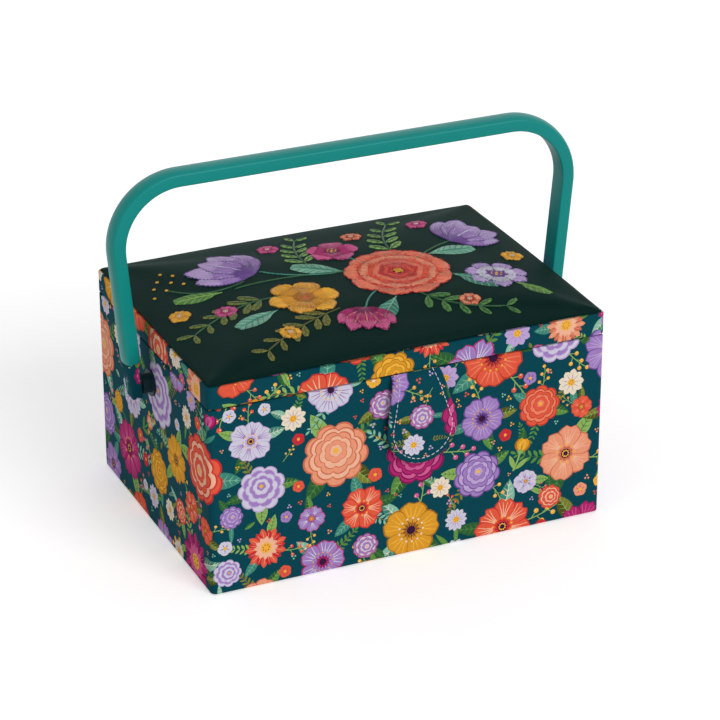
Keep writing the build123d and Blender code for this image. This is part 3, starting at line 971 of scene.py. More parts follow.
class SEWBOX_OT_body(bpy.types.Operator):
    """Printed cotton round the body, turned over the top edge and under the base"""

    bl_idname = "sewbox.body"
    bl_label = "Printed body"

    def execute(self, context):
        low, high = BODY_LOW.z, BODY_HIGH.z
        edge, under, inside = 0.8, 9.0, 6.0
        section = [(-under, low)]
        section += quarter((-edge, low + edge), edge, -90, 0)
        section += quarter((-edge, high - edge), edge, 0, 90)
        section += quarter((INSIDE + edge, high - edge), edge, 90, 180)
        section += [(INSIDE, high - inside)]
        fold = Fold(section, -under)
        v0, v1 = fold.marks[0], fold.marks[-1]
        for side, u0, u1 in side_ranges():
            strip = cut_shapes((u0, u1, v0, v1), print_repeat(), corner_lines(), fold.marks[1:-1])
            panel = printed_piece("printed_body_" + side, [strip], wrapped(fold))
            dress(panel, "root", ["body_cover"])
        return {"FINISHED"}


class SEWBOX_OT_rim(bpy.types.Operator):
    """Printed cotton round the rim of the lid, from under its edge to under the pad"""

    bl_idname = "sewbox.rim"
    bl_label = "Printed rim"

    def execute(self, context):
        low, high = RIM_LOW.z, RIM_HIGH.z
        edge, top_edge, under_pad, inside = 0.7, 0.5, 3.4, 6.0
        section = [(INSIDE, low + inside)]
        section += quarter((INSIDE + edge, low + edge), edge, 180, 270)
        section += quarter((-edge, low + edge), edge, -90, 0)
        section += quarter((-top_edge, high - top_edge), top_edge, 0, 90)
        section += [(-under_pad, high)]
        fold = Fold(section, 142.0)
        v0, v1 = fold.marks[0], fold.marks[-1]
        slid = field_moved(print_repeat(), 47.0, 0.0)
        inner = fold.marks[1:-1]
        strips = [cut_shapes((u0, u1, v0, v1), slid, corner_lines(), inner) for _, u0, u1 in side_ranges()]
        rim = printed_piece("printed_rim", strips, wrapped(fold))
        dress(rim, "lid", ["rim_cover"])
        return {"FINISHED"}


def grid_faces(columns, rows, closed=False):
    """Faces of a grid of points that runs along its columns first; a closed grid meets itself."""
    wide = columns if closed else columns - 1
    faces = []
    for j in range(rows - 1):
        for i in range(wide):
            a, b = j * columns + i, j * columns + (i + 1) % columns
            faces.append((a, b, b + columns, a + columns))
    return faces


def capped(columns, rows):
    """Faces of a closed grid with a cap at each end."""
    last = (rows - 1) * columns
    caps = [tuple(range(columns))[::-1], tuple(range(last, last + columns))]
    return grid_faces(columns, rows, True) + caps


def spaced(low, high, near):
    """Grid positions from low to high that crowd together at both ends by the near distances."""
    inner_low, inner_high = low + near[-1], high - near[-1]
    count = max(2, round((inner_high - inner_low) / 5.0))
    middle = [inner_low + (inner_high - inner_low) * k / count for k in range(count + 1)]
    return [low + s for s in near[:-1]] + middle + [high - s for s in reversed(near[:-1])]


def pad_mesh(half_x, half_y, low, edge_rise, crown):
    """A crowned sheet on a rounded oblong, in metres, and its boundary vertices."""
    near = (0.0, 0.35, 0.9, 1.6, 2.6, 4.2, 6.2, 8.8)
    xs = spaced(-half_x, half_x, near)
    ys = spaced(-half_y, half_y, near)
    reach, crown_reach = 2.4, 19.0
    verts, rim = [], []
    for y in ys:
        for x in xs:
            sx, sy = half_x - abs(x), half_y - abs(y)
            px, py = x, y
            s = min(sx, sy)
            if sx < CORNER and sy < CORNER:
                cx, cy = math.copysign(half_x - CORNER, x), math.copysign(half_y - CORNER, y)
                away = math.hypot(x - cx, y - cy)
                ring = CORNER - s
                if away > 1e-9:
                    px, py = cx + (x - cx) / away * ring, cy + (y - cy) / away * ring
            t = min(s / reach, 1.0)
            z = low + edge_rise * math.sqrt(1 - (1 - t) ** 2)
            z += crown * (1 - math.exp(-sx / crown_reach)) * (1 - math.exp(-sy / crown_reach))
            verts.append((px * MM, py * MM, z * MM))
            if s < 1e-6:
                rim.append(len(verts) - 1)
    return new_mesh("pad", verts, [], grid_faces(len(xs), len(ys))), rim


def applied(piece):
    """The mesh that a piece's modifiers make of it."""
    return bpy.data.meshes.new_from_object(piece.evaluated_get(bpy.context.evaluated_depsgraph_get()))


def settle_cloth(piece, pinned, pressure, cap):
    """Lets foam pressure swell a cloth held along its edge, and keeps each point within cap metres."""
    rest = [v.co.copy() for v in piece.data.vertices]
    piece.vertex_groups.new(name="edge").add(pinned, 1.0, "REPLACE")
    cloth = piece.modifiers.new("cloth", "CLOTH")
    settings = {
        "quality": 6,
        "mass": 0.25,
        "tension_stiffness": 25,
        "compression_stiffness": 25,
        "bending_stiffness": 1.5,
        "vertex_group_mass": "edge",
        "use_pressure": True,
        "uniform_pressure_force": pressure,
        "shrink_min": 0.004,
    }
    for key, value in settings.items():
        setattr(cloth.settings, key, value)
    cloth.settings.effector_weights.gravity = 0
    cloth.point_cache.frame_start = 1
    cloth.point_cache.frame_end = 20
    for step in range(1, 21):
        bpy.context.scene.frame_set(step)
    settled = applied(piece)
    piece.modifiers.clear()
    bpy.context.scene.frame_set(1)
    for vertex, start in zip(piece.data.vertices, rest):
        shift = settled.vertices[vertex.index].co - start
        if shift.length > cap:
            shift *= cap / shift.length
        vertex.co = start + shift
    bpy.data.meshes.remove(settled)


class SEWBOX_OT_pad(bpy.types.Operator):
    """Padded top: dark sateen drawn tight over foam, settled by a cloth simulation"""

    bl_idname = "sewbox.pad"
    bl_label = "Padded top"

    def execute(self, context):
        low, high = box_mm("pad_cover")
        edge_rise, farthest = 2.3, 0.0012
        mesh, rim = pad_mesh(high.x, high.y, low.z, edge_rise, sizes().pad_crown / MM)
        pad = new_object("pad_top", mesh)
        settle_cloth(pad, rim, sizes().pad_pressure, farthest)
        with edited(pad.data) as edit:
            border = [e for e in edit.edges if e.is_boundary]
            bmesh.ops.holes_fill(edit, edges=border, sides=0)
            bmesh.ops.recalc_face_normals(edit, faces=edit.faces)
            for edge in border:
                edge.smooth = False
        smooth(pad.data)
        finer = pad.modifiers.new("subdivision", "SUBSURF")
        finer.levels = finer.render_levels = 1
        finer.boundary_smooth = "PRESERVE_CORNERS"
        pad.data.materials.append(material("pad_cotton_sateen"))
        dress(pad, "lid", ["pad_cover", "pad_foam"])
        return {"FINISHED"}


# Embroidery: every stitch is a short line of points with its thread's colour, in millimetres on the pad


def fill_stitches(rng, outline_at, turn, x, y, tones, length):
    """Long-and-short rows fanned over a petal from its base to its tip.

    outline_at(t) gives half the petal's width at the share t of its length.
    """
    stitches = []
    rows, spacing = len(tones), 0.84
    for row, tone in enumerate(tones):
        t0, t1 = row / rows, (row + 1) / rows
        widest = max(outline_at(t0), outline_at((t0 + t1) / 2), outline_at(t1))
        count = max(2, int(2 * widest / spacing))
        for k in range(count + 1):
            side = 2 * k / count - 1
            start = max(0.0, t0 - (0.1 if k % 2 else 0.02) - rng.uniform(0, 0.03))
            end = min(1.0, t1 + (0.05 if k % 2 else -0.04) + rng.uniform(-0.02, 0.03))
            steps = [start + (end - start) * step / 3 for step in range(4)]
            points = [(length * t, side * outline_at(t) * 0.97) for t in steps]
            stitches.append((moved(points, turn, x, y), tone, 0.02 * row))
    return stitches


def petal_width(width, fullness, power):
    """Half-width of a petal along its length."""

    def at(t):
        return width / 2 * math.sin(math.pi * t**fullness) ** power if 0 < t < 1 else 0.0

    return at


def stitched_petal(rng, x, y, turn, length, width, tones, edge=None, fullness=1.8, power=0.6):
    """A petal filled with rows of thread, with a backstitched edge where one is asked for."""
    width_at = petal_width(width, fullness, power)
    stitches = fill_stitches(rng, width_at, turn, x, y, tones, length)
    if edge:
        count = max(4, int(length / 2.6))
        for side in (-1, 1):
            for k in range(count):
                line = [length * min(0.12 + 0.88 * (k + step / 2) / count, 0.995) for step in range(3)]
                points = [(at, side * width_at(at / length)) for at in line]
                stitches.append((moved(points, turn, x, y), edge, 0.22))
    return stitches


def stitched_leaf(x, y, turn, length, width, tone, rib):
    """A leaf in fishbone stitch: slanting threads that meet at a midrib."""
    stitches = []
    width_at = petal_width(width, 0.9, 0.85)
    count = max(5, int(length / 0.85))
    for k in range(1, count):
        t = k / count
        for side in (-1, 1):
            line = ((t, 0.0), (min(t + 0.1, 1.0), 0.6), (min(t + 0.16, 1.0), 1.0))
            points = [(length * at, side * width_at(t) * out) for at, out in line]
            stitches.append((moved(points, turn, x, y), tone if (k + side) % 5 else rib, 0.0))
    stitches.append((moved([(0, 0), (length * 0.5, 0), (length * 0.95, 0)], turn, x, y), rib, 0.25))
    return stitches


def stitched_stem(points, tone, twist=0.35):
    """Stem stitch: short overlapping slanted stitches along a line."""
    walked = []
    for (ax, ay), (bx, by) in zip(points, points[1:]):
        steps = max(1, int(math.hypot(bx - ax, by - ay) / 1.6))
        walked += [(ax + (bx - ax) * k / steps, ay + (by - ay) * k / steps) for k in range(steps)]
    walked.append(points[-1])
    stitches = []
    for (ax, ay), (bx, by) in zip(walked, walked[2:]):
        length = math.hypot(bx - ax, by - ay) or 1.0
        nx, ny = -(by - ay) / length * twist, (bx - ax) / length * twist
        stitches.append(([(ax - nx, ay - ny), ((ax + bx) / 2, (ay + by) / 2), (bx + nx, by + ny)], tone, 0.1))
    return stitches


def knots(spots, tone, size=0.9):
    """French knots: three little crossing loops each."""
    loop = [(-size / 2, 0), (0, 0.12), (size / 2, 0)]
    return [(moved(loop, k * 1.05, x, y), tone, 0.45) for x, y in spots for k in range(3)]


def lifted(stitches, rise):
    """Stitches laid a little higher, over those below them."""
    return [(points, tone, lift + rise) for points, tone, lift in stitches]


def curve_points(start, mid, end, steps=10):
    """Points along a smooth bend from start to end pulled towards mid."""
    shares = [k / steps for k in range(steps + 1)]
    parts = list(zip(start, mid, end))
    return [tuple((1 - t) ** 2 * s + 2 * t * (1 - t) * m + t * t * e for s, m, e in parts) for t in shares]


def stitched_rosette(rng, x, y, radius):
    """The big double flower: rounds of scalloped petals that lie over each other towards the middle."""
    stitches = []
    rounds = (
        (1.0, 9, ("coral_dark", "coral", "coral_light")),
        (0.74, 8, ("red", "coral", "peach")),
        (0.5, 6, ("coral_dark", "coral_light")),
        (0.28, 5, ("red", "coral")),
    )
    for level, (share, count, tones) in enumerate(rounds):
        phase = rng.uniform(0, 6.28)
        for k in range(count):
            turn = phase + 2 * math.pi * k / count
            base = spot_at(x, y, radius * share * 0.34, turn)
            width = 2.5 * math.pi * radius * share * 0.8 / count
            rows = stitched_petal(rng, *base, turn, radius * share * 0.68, width, tones, "red", 1.7, 0.5)
            stitches += lifted(rows, level * 0.16)
    seeds = [(x + 0.9 * a, y + 0.9 * b) for a in (-2, 0, 2) for b in (-2, 0, 2)]
    return stitches + lifted(knots(seeds, "yellow", 1.3), 0.6)


def stitched_open(rng, x, y, radius, petals, tones, seed):
    """An open flower of separate petals with knots in its heart."""
    stitches = []
    for turn in turns(petals):
        turn += rng.uniform(-0.08, 0.08)
        width = 1.9 * math.pi * radius * 0.72 / petals
        reach = radius * rng.uniform(0.92, 1.05)
        stitches += stitched_petal(rng, x, y, turn, reach, width, tones, tones[0], 1.9, 0.55)
    ring = [spot_at(x, y, radius * 0.17, turn) for turn in (0, 1.05, 2.1, 3.14, 4.2, 5.2)]
    return stitches + knots(ring + [(x, y)], seed, radius * 0.1)


def stitched_cup(rng, x, y, turn, radius, tones, edge):
    """A cup-shaped flower from the side with five upright petals."""
    stitches = []
    petals = ((0.75, 0.86, 0.0), (-0.75, 0.86, 0.0), (0.38, 1.0, 0.22), (-0.38, 1.0, 0.22), (0.0, 0.9, 0.44))
    for lean, size, level in petals:
        length, width = radius * size, radius * 0.46
        rows = stitched_petal(rng, x, y, turn + lean, length, width, tones, tones[0], 1.15, 0.75)
        rib = [(radius * 0.15, 0), (radius * 0.5, 0), (radius * size * 0.92, 0)]
        stitches += lifted(rows, level) + [(moved(rib, turn + lean, x, y), edge, level + 0.3)]
    return stitches


def stitched_frond(start, mid, end, pairs, size, tone, stem):
    """A bent stem with pairs of small stitched leaves."""
    line = curve_points(start, mid, end, 16)
    stitches = stitched_stem(line, stem)
    for k in range(pairs):
        at = 3 + int((len(line) - 4) * k / max(1, pairs - 1))
        (ax, ay), (bx, by) = line[at - 1], line[min(at + 1, len(line) - 1)]
        along = math.atan2(by - ay, bx - ax)
        leaf_size = size * (1.0 - 0.35 * k / pairs)
        for side in (-1, 1):
            stitches += stitched_leaf(*line[at], along + side * 0.8, leaf_size, leaf_size * 0.36, tone, stem)
    return stitches


def foliage_stitches():
    """Stems, fronds and leaves of a generic spray across the pad."""
    stitches = []
    for start, mid, end, tone in (
        ((-70, 12), (-30, 20), (20, 2), "leaf_dark"),
        ((34, -4), (64, 20), (84, 28), "leaf_dark"),
        ((-46, 30), (-34, 14), (-4, 8), "mint_dark"),
        ((24, -20), (4, -22), (-8, -46), "mint_dark"),
        ((20, 10), (14, 26), (6, 40), "mint_dark"),
        ((50, -14), (70, -30), (88, -30), "leaf_dark"),
        ((-60, 20), (-86, 6), (-106, 34), "leaf_dark"),
    ):
        stitches += stitched_stem(curve_points(start, mid, end, 14), tone)
    for sprig in (
        ((-50, -10), (-80, -8), (-113, -32), 6, 15.0, "olive", "leaf_dark"),
        ((42, 18), (40, 46), (60, 74), 5, 14.0, "leaf_light", "leaf_dark"),
        ((30, -34), (38, -62), (74, -72), 5, 14.0, "leaf", "leaf_dark"),
        ((-22, -40), (-50, -48), (-82, -72), 6, 14.0, "olive", "olive_dark"),
        ((-14, 22), (-18, 48), (-4, 74), 5, 13.0, "leaf_light", "leaf_dark"),
    ):
        stitches += stitched_frond(*sprig)
    for x, y, turn, length, tone, rib in (
        (2, 8, 2.5, 34, "mint", "mint_dark"),
        (62, -22, -0.9, 32, "mint_dark", "mint"),
        (60, 12, 0.1, 34, "mint", "mint_dark"),
        (16, -38, 4.0, 30, "mint_dark", "mint"),
        (-58, -28, 3.5, 32, "mint", "mint_dark"),
        (-78, 12, 3.0, 30, "leaf", "leaf_light"),
        (94, -46, -1.0, 24, "leaf", "leaf_light"),
    ):
        stitches += stitched_leaf(x, y, turn, length, length * 0.42, tone, rib)
    twig = [(-106, 34), (-112, 40), (-100, 42), (-107, 48), (-96, 50), (-116, 28), (-94, 36), (-102, 56)]
    return stitches + knots(twig, "yellow", 2.0)


def bloom_stitches(rng):
    """Flowers of the same spray."""
    pale = ("lavender_dark", "lavender", "lavender_light")
    stitches = stitched_cup(rng, -50, 28, 2.3, 44, pale, "lilac_white")
    stitches += stitched_cup(rng, 84, 28, 0.6, 38, pale, "lilac_white")
    stitches += stitched_cup(rng, -8, -44, 4.4, 29, ("magenta_dark", "magenta", "magenta_light"), "peach")
    stitches += stitched_open(rng, -36, -18, 23, 6, ("ochre", "mustard", "yellow"), "coral")
    lilac = ("lavender_dark", "lilac_white", "lavender_light")
    stitches += stitched_open(rng, 88, -30, 20, 7, lilac, "yellow")
    stitches += stitched_open(rng, 8, 42, 17, 5, ("magenta_dark", "magenta", "magenta_light"), "yellow")
    stitches += stitched_rosette(rng, 32, -6, 33)
    buds = [(-86, -14), (-62, -58), (30, 62), (76, 62), (112, -4), (56, -58), (-26, 66), (-112, -4)]
    for k, (x, y) in enumerate(buds):
        tones = (("magenta", "magenta_light"), ("mustard", "yellow"), ("coral_dark", "peach"))[k % 3]
        stitches += stitched_open(rng, x, y, 7.0, 5, tones, "cream")
    return stitches


def node_group(name, fields):
    """A Geometry Nodes tree whose inputs are the geometry, some named fields and a material."""
    tree = bpy.data.node_groups.new(name, "GeometryNodeTree")
    for label, kind in (("Geometry", "Geometry"), *fields, ("Material", "Material")):
        tree.interface.new_socket(label, in_out="INPUT", socket_type="NodeSocket" + kind)
    tree.interface.new_socket("Geometry", in_out="OUTPUT", socket_type="NodeSocketGeometry")
    return tree, add_node(tree, "NodeGroupInput").outputs


def end_group(tree, given, geometry):
    """Ends a tree with its geometry made real and in the given material."""
    real = output(tree, "GeometryNodeRealizeInstances", {0: geometry})
    dressed = output(tree, "GeometryNodeSetMaterial", {"Geometry": real, "Material": given["Material"]})
    add_node(tree, "NodeGroupOutput", {0: dressed})
    return tree


def thread_tree():
    """Geometry Nodes: lines of stitches become round threads of one width, in one material."""
    tree, given = node_group("stitch_threads", (("Thread width", "Float"), ("Sides", "Int")))
    lines = output(tree, "GeometryNodeMeshToCurve", {"Mesh": given["Geometry"]})
    half = maths(tree, "MULTIPLY", given["Thread width"], 0.5)
    ring = {"Radius": half, "Resolution": given["Sides"]}
    profile = output(tree, "GeometryNodeCurvePrimitiveCircle", ring)
    thread = {"Fill Caps": True, "Curve": lines, "Profile Curve": profile}
    return end_group(tree, given, output(tree, "GeometryNodeCurveToMesh", thread))


def run_tree(piece, tree, **inputs):
    """Runs a Geometry Nodes tree on a piece and keeps the result as its plain mesh."""
    modifier = piece.modifiers.new(tree.name, "NODES")
    modifier.node_group = tree
    for item in tree.interface.items_tree:
        key = item.name.replace(" ", "_").lower()
        if item.in_out == "INPUT" and key in inputs:
            modifier[item.identifier] = inputs[key]
    bpy.context.view_layer.update()
    made = applied(piece)
    piece.modifiers.clear()
    piece.data = made
    made.name = piece.name
    smooth(made)
    return piece


def coloured(mesh, colours):
    """Gives each point of a thread mesh its dye."""
    dye = mesh.attributes.new("thread", "FLOAT_COLOR", "POINT")
    dye.data.foreach_set("color", colours)


def stitch_lines(name, stitches):
    """A mesh of loose edges, one chain per stitch in metres, with the thread's colour on its points."""
    verts, edges, dyes = [], [], []
    for points, tone, shade in stitches:
        start = len(verts)
        verts += points
        edges += [(start + k, start + k + 1) for k in range(len(points) - 1)]
        dyes += [c * shade for c in linear(TONES[tone])] * len(points)
    mesh = new_mesh(name, verts, edges, [])
    coloured(mesh, dyes)
    return new_object(name, mesh)


class SEWBOX_OT_embroidery(bpy.types.Operator):
    """Machine embroidery on the padded top, thread by thread"""

    bl_idname = "sewbox.embroidery"
    bl_label = "Embroidery"

    def execute(self, context):
        pad = bpy.data.objects["pad_top"]
        shape = pad.evaluated_get(context.evaluated_depsgraph_get()).data
        upward = [tuple(face.vertices) for face in shape.polygons if face.normal.z > 0.1]
        tree = BVHTree.FromPolygons([v.co for v in shape.vertices], upward)
        width = sizes().thread
        threads = thread_tree()
        rng = random.Random(sizes().print_seed + 11)
        for name, stitches, over in (
            ("embroidered_leaves", foliage_stitches(), 0.02),
            ("embroidered_blooms", bloom_stitches(rng), 0.22),
        ):
            lines = []
            for points, tone, lift in stitches:
                line = []
                last = len(points) - 1
                for k, (x, y) in enumerate(points):
                    hit = tree.ray_cast(Vector((x * MM, y * MM, 0.3)), Vector((0, 0, -1)))[0]
                    if hit is None:
                        raise RuntimeError("a stitch misses the pad")
                    rise = (over + lift) * MM + width * 0.35 if 0 < k < last else lift * MM - width * 0.2
                    line.append(hit + Vector((0, 0, rise)))
                lines.append((line, tone, rng.uniform(0.78, 1.12)))
            piece = stitch_lines(name, lines)
            run_tree(piece, threads, thread_width=width, sides=4, material=material("embroidery_rayon"))
            dress(piece, "lid")
        return {"FINISHED"}


# The flap's tongue in front view, in millimetres
SEAM = 122.6
FLAP_CENTRE = 2.0
FLAP_HALF_TOP = 15.0
FLAP_ROUND = 23.0
FLAP_LENGTH = 59.5
FLAP_LEAN = math.radians(5.0)
FLAP_BEND = 11.0
FLAP_FRONT = -HALF_DEPTH - 5.4
FLAP_BACK = -HALF_DEPTH - 3.0
FLAP_ROOT = 122.65


def flap_edge(inset, top, steps=44):
    """The tongue's side and round end as an open line from its top left to its top right corner."""
    half, radius = FLAP_HALF_TOP - inset, FLAP_ROUND - inset
    drop = FLAP_LENGTH - FLAP_ROUND
    touch = math.atan2(drop, half) - math.acos(radius / math.hypot(half, drop))
    start = spot_at(0, -drop, radius, math.pi - touch)
    sides = [(-half + (start[0] + half) * k / 12, top + (start[1] - top) * k / 12) for k in range(12)]
    arc = [math.pi - touch + (math.pi + 2 * touch) * k / steps for k in range(steps + 1)]
    line = sides + [spot_at(0, -drop, radius, turn) for turn in arc] + [(-x, z) for x, z in reversed(sides)]
    return [(FLAP_CENTRE + x, SEAM + z) for x, z in moved(line, FLAP_LEAN)]


def flap_depths(z):
    """Front and back of the flap at a height: it bows out from the seam and then hangs straight."""
    bend = FLAP_ROOT - FLAP_BEND
    if z <= bend:
        return FLAP_FRONT, FLAP_BACK
    depths = []
    for far, root in ((FLAP_FRONT, -HALF_DEPTH - 1.08), (FLAP_BACK, -HALF_DEPTH - 0.24)):
        out = root - far
        radius = (out * out + FLAP_BEND * FLAP_BEND) / (2 * out)
        depths.append(far + radius - math.sqrt(radius * radius - (z - bend) ** 2))
    return depths


def line_distance(line, x, y):
    """Distance from a point to an open line."""
    best = 1e9
    for (ax, ay), (bx, by) in zip(line, line[1:]):
        dx, dy = bx - ax, by - ay
        t = max(0.0, min(1.0, ((x - ax) * dx + (y - ay) * dy) / (dx * dx + dy * dy)))
        best = min(best, math.hypot(x - ax - dx * t, y - ay - dy * t))
    return best


def dash_tree():
    """Geometry Nodes: a row of rounded thread dashes along a line at a set length and gap."""
    fields = [(label, "Float") for label in ("Pitch", "Stitch length", "Thread width")]
    tree, given = node_group("running_stitch", fields)
    line = output(tree, "GeometryNodeMeshToCurve", {"Mesh": given["Geometry"]})
    row = {"mode": "LENGTH", "Curve": line, "Length": given["Pitch"]}
    spots = add_node(tree, "GeometryNodeCurveToPoints", row).outputs
    width = given["Thread width"]
    size = output(tree, "ShaderNodeCombineXYZ", {0: width, 1: width, 2: given["Stitch length"]})
    dash = output(tree, "GeometryNodeMeshUVSphere", {"Segments": 8, "Rings": 8, "Radius": 1.0})
    placing = {"Points": spots["Points"], "Instance": dash, "Rotation": spots["Rotation"]}
    dashes = output(tree, "GeometryNodeInstanceOnPoints", placing | {"Scale": scaled(tree, size, 0.5)})
    return end_group(tree, given, dashes)


def dashes_along(name, points, colour):
    """Running stitches along a line of points in metres."""
    piece = new_object(name, new_mesh(name, points, [(k, k + 1) for k in range(len(points) - 1)], []))
    stitch = sizes().hem_stitch
    run_tree(
        piece,
        dash_tree(),
        pitch=stitch + sizes().hem_gap,
        stitch_length=stitch,
        thread_width=0.0006,
        material=material("embroidery_rayon"),
    )
    coloured(piece.data, list(linear(TONES[colour])) * len(piece.data.vertices))
    return piece


class SEWBOX_OT_flap(bpy.types.Operator):
    """Tongue-shaped flap: printed cotton round a card, with a running stitch inside its edge"""

    bl_idname = "sewbox.flap"
    bl_label = "Flap"

    def execute(self, context):
        above, rounding = 4.0, 1.4
        side_line = flap_edge(0.0, above)
        area = (FLAP_CENTRE - 30.0, FLAP_CENTRE + 30.0, SEAM - 64.0, SEAM + 0.4)
        bend = [FLAP_ROOT - FLAP_BEND * k / 8 for k in range(1, 9)]
        loops = [(flap_edge(inset, above), "ground") for inset in (0.25, 0.6, 1.0, 1.5, 3.0)]
        slid = field_moved(print_repeat(), -526.0, -36.0)
        fields = [loops + field_moved(slid, slide, 0.0) for slide in (0.0, 90.0)]
        front, back = (cut_shapes(area, field, [], bend, side_line) for field in fields)
        back = (back[0], [face[::-1] for face in back[1]]) + back[2:]

        def place(x, z, row):
            front, back = flap_depths(z)
            away = min(line_distance(side_line, x, z), rounding)
            swell = math.sqrt(1 - (1 - away / rounding) ** 2)
            middle, half = (front + back) / 2, (back - front) / 2
            return x, middle + (half if row else -half) * swell, z

        flap = printed_piece("printed_flap", [front, back], place)
        dress(flap, nodes=["flap_cover"])
        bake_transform(flap)
        seam = [(x * MM, (flap_depths(z)[0] - 0.1) * MM, z * MM) for x, z in flap_edge(3.6, -1.0, 72)]
        stitch = dashes_along("flap_running_stitch", seam, "lilac_white")
        dress(stitch)
        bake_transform(stitch)
        return {"FINISHED"}


# The handle's arms and tabs in front view, in millimetres
ARM_FOOT = (140.75, 93.0)
ARM_TOE_IN = math.radians(5.1)
ARM_CUT = 117.0
GRIP_HEIGHT = 230.75
BOW_RADIUS = 40.0
ARM_UP = Vector((-math.sin(ARM_TOE_IN), 0, math.cos(ARM_TOE_IN)))
ARM_OUT = Vector((-math.cos(ARM_TOE_IN), 0, -math.sin(ARM_TOE_IN)))
TAB_HEIGHT = 24.0
TAB_FOOT = (12.0, 6.6)
TAB_FLARE = 1.4
TAB_ROUND = 40.0


def arm_x(height):
    """Distance of an arm's centre line from the middle of the box."""
    return ARM_FOOT[0] + (height - ARM_FOOT[1]) * math.tan(ARM_TOE_IN)


def bow_line(steps=28):
    """Points and outward directions along the bow's centre line from the left cut to the right cut."""
    turn = math.pi / 2 + ARM_TOE_IN
    reach = BOW_RADIUS * math.tan(turn / 2)
    corner = Vector((-arm_x(GRIP_HEIGHT), 0, GRIP_HEIGHT))
    cut = Vector((-arm_x(ARM_CUT), 0, ARM_CUT))
    start = corner - ARM_UP * reach
    centre = start - ARM_OUT * BOW_RADIUS
    left = [(cut + (start - cut) * k / 10, ARM_OUT) for k in range(10)]
    for k in range(steps + 1):
        angle = turn * k / steps
        aim = ARM_OUT * math.cos(angle) + ARM_UP * math.sin(angle)
        left.append((centre + aim * BOW_RADIUS, aim))
    right = [(Vector((-p.x, 0, p.z)), Vector((-d.x, 0, d.z))) for p, d in reversed(left)]
    a, b = left[-1][0], right[0][0]
    return left + [(a.lerp(b, k / 24), Vector((0, 0, 1))) for k in range(1, 24)] + right


def grip_section(edge_in=0.9, edge_out=1.5, deep=7.0, inner=-4.25, outer=3.75, crown=1.5):
    """The bow's section as (depth, outwards): flat inside, crowned outside, with rounded edges."""
    foot = quarter((deep - edge_in, inner + edge_in), edge_in, -75, -15, 3)
    shoulder = quarter((deep - edge_out, outer - edge_out + 0.2), edge_out, 0, 70, 5)
    points = [(x, inner) for x in (-deep + edge_in, 0.0, deep - edge_in)]
    points += foot + [(deep, inner + edge_in), (deep, 0.0)] + shoulder
    for k in range(1, 10):
        x = (deep - 1.4) * (1 - k / 5)
        points.append((x, outer + crown * (1 - (x / deep) ** 2)))
    points += [(-x, y) for x, y in reversed(shoulder)] + [(-deep, 0.0), (-deep, inner + edge_in)]
    return points + [(-x, y) for x, y in reversed(foot)]


class SEWBOX_OT_handle(bpy.types.Operator):
    """Moulded bow handle: one section carried along the bow, with clean cut ends"""

    bl_idname = "sewbox.handle"
    bl_label = "Bow handle"

    def execute(self, context):
        section, line = grip_section(), bow_line()
        rings = [[point + Vector((0, d, 0)) + aim * o for d, o in section] for point, aim in line]
        ends = []
        for end, beside in ((0, 1), (-1, -2)):
            point, aim = line[end]
            away = (point - line[beside][0]).normalized()
            ends.append([point + Vector((0, d * 0.94, 0)) + aim * (o * 0.93) for d, o in section])
            rings[end] = [p - away * 0.45 for p in rings[end]]
        rings = [ends[0]] + rings + [ends[1]]
        verts = [p * MM for ring in rings for p in ring]
        mesh = new_mesh("bow_handle", verts, [], capped(len(section), len(rings)))
        with edited(mesh) as edit:
            bmesh.ops.recalc_face_normals(edit, faces=edit.faces)
            for face in edit.faces:
                face.smooth = len(face.verts) == 4
        bow = new_object("bow_handle", mesh)
        bow.data.materials.append(material("handle_abs"))
        dress(bow, "handle", ["handle_bow"])
        return {"FINISHED"}


def tab_place(side):
    """How the sleeve's print goes round one tab: u runs round it, v runs up from its foot."""
    length = TAB_HEIGHT / math.cos(ARM_TOE_IN)
    head = Vector((-arm_x(ARM_CUT), 0, ARM_CUT))
    foot = [(-3.2, 0.0)] + quarter((-0.8, 0.8), 0.8, -90, 0)
    fold = Fold(foot + [(0.0, length - 0.4), (-0.7, length), (-2.6, length)])
    radius = 1.3
    arc = math.pi * radius / 2

    def place(u, v, _):
        n, height = fold.at(v)
        t = height / length
        wide, thick = ((size + TAB_FLARE * t) / 2 for size in TAB_FOOT)
        flat_w, flat_t = wide - radius, thick - radius
        s = (u / TAB_ROUND % 1.0) * (4 * flat_w + 4 * flat_t + 4 * arc)
        d = o = 0.0
        # Faces in turn: front (towards -Y), outer, back, inner, each with the corner that follows it
        for face, span in enumerate((2 * flat_t, 2 * flat_w, 2 * flat_t, 2 * flat_w)):
            if s <= span:
                along, out_d, out_o = s - span / 2, wide + n, thick + n
                d, o = ((-out_d, along), (along, out_o), (out_d, -along), (-along, -out_o))[face]
                break
            s -= span
            if s <= arc:
                corner = ((-flat_w, flat_t), (flat_w, flat_t), (flat_w, -flat_t), (-flat_w, -flat_t))[face]
                base = (math.pi, math.pi / 2, 0.0, -math.pi / 2)[face]
                d, o = spot_at(*corner, max(radius + n, 0.0), base - s / radius)
                break
            s -= arc
        d = max(-wide - n, min(wide + n, d)) if wide + n > 0 else 0.0
        o = max(-thick - n, min(thick + n, o)) if thick + n > 0 else 0.0
        point = head - ARM_UP * (length - height) + ARM_OUT * o
        return (side * -point.x, point.y + d, point.z)

    return fold, place


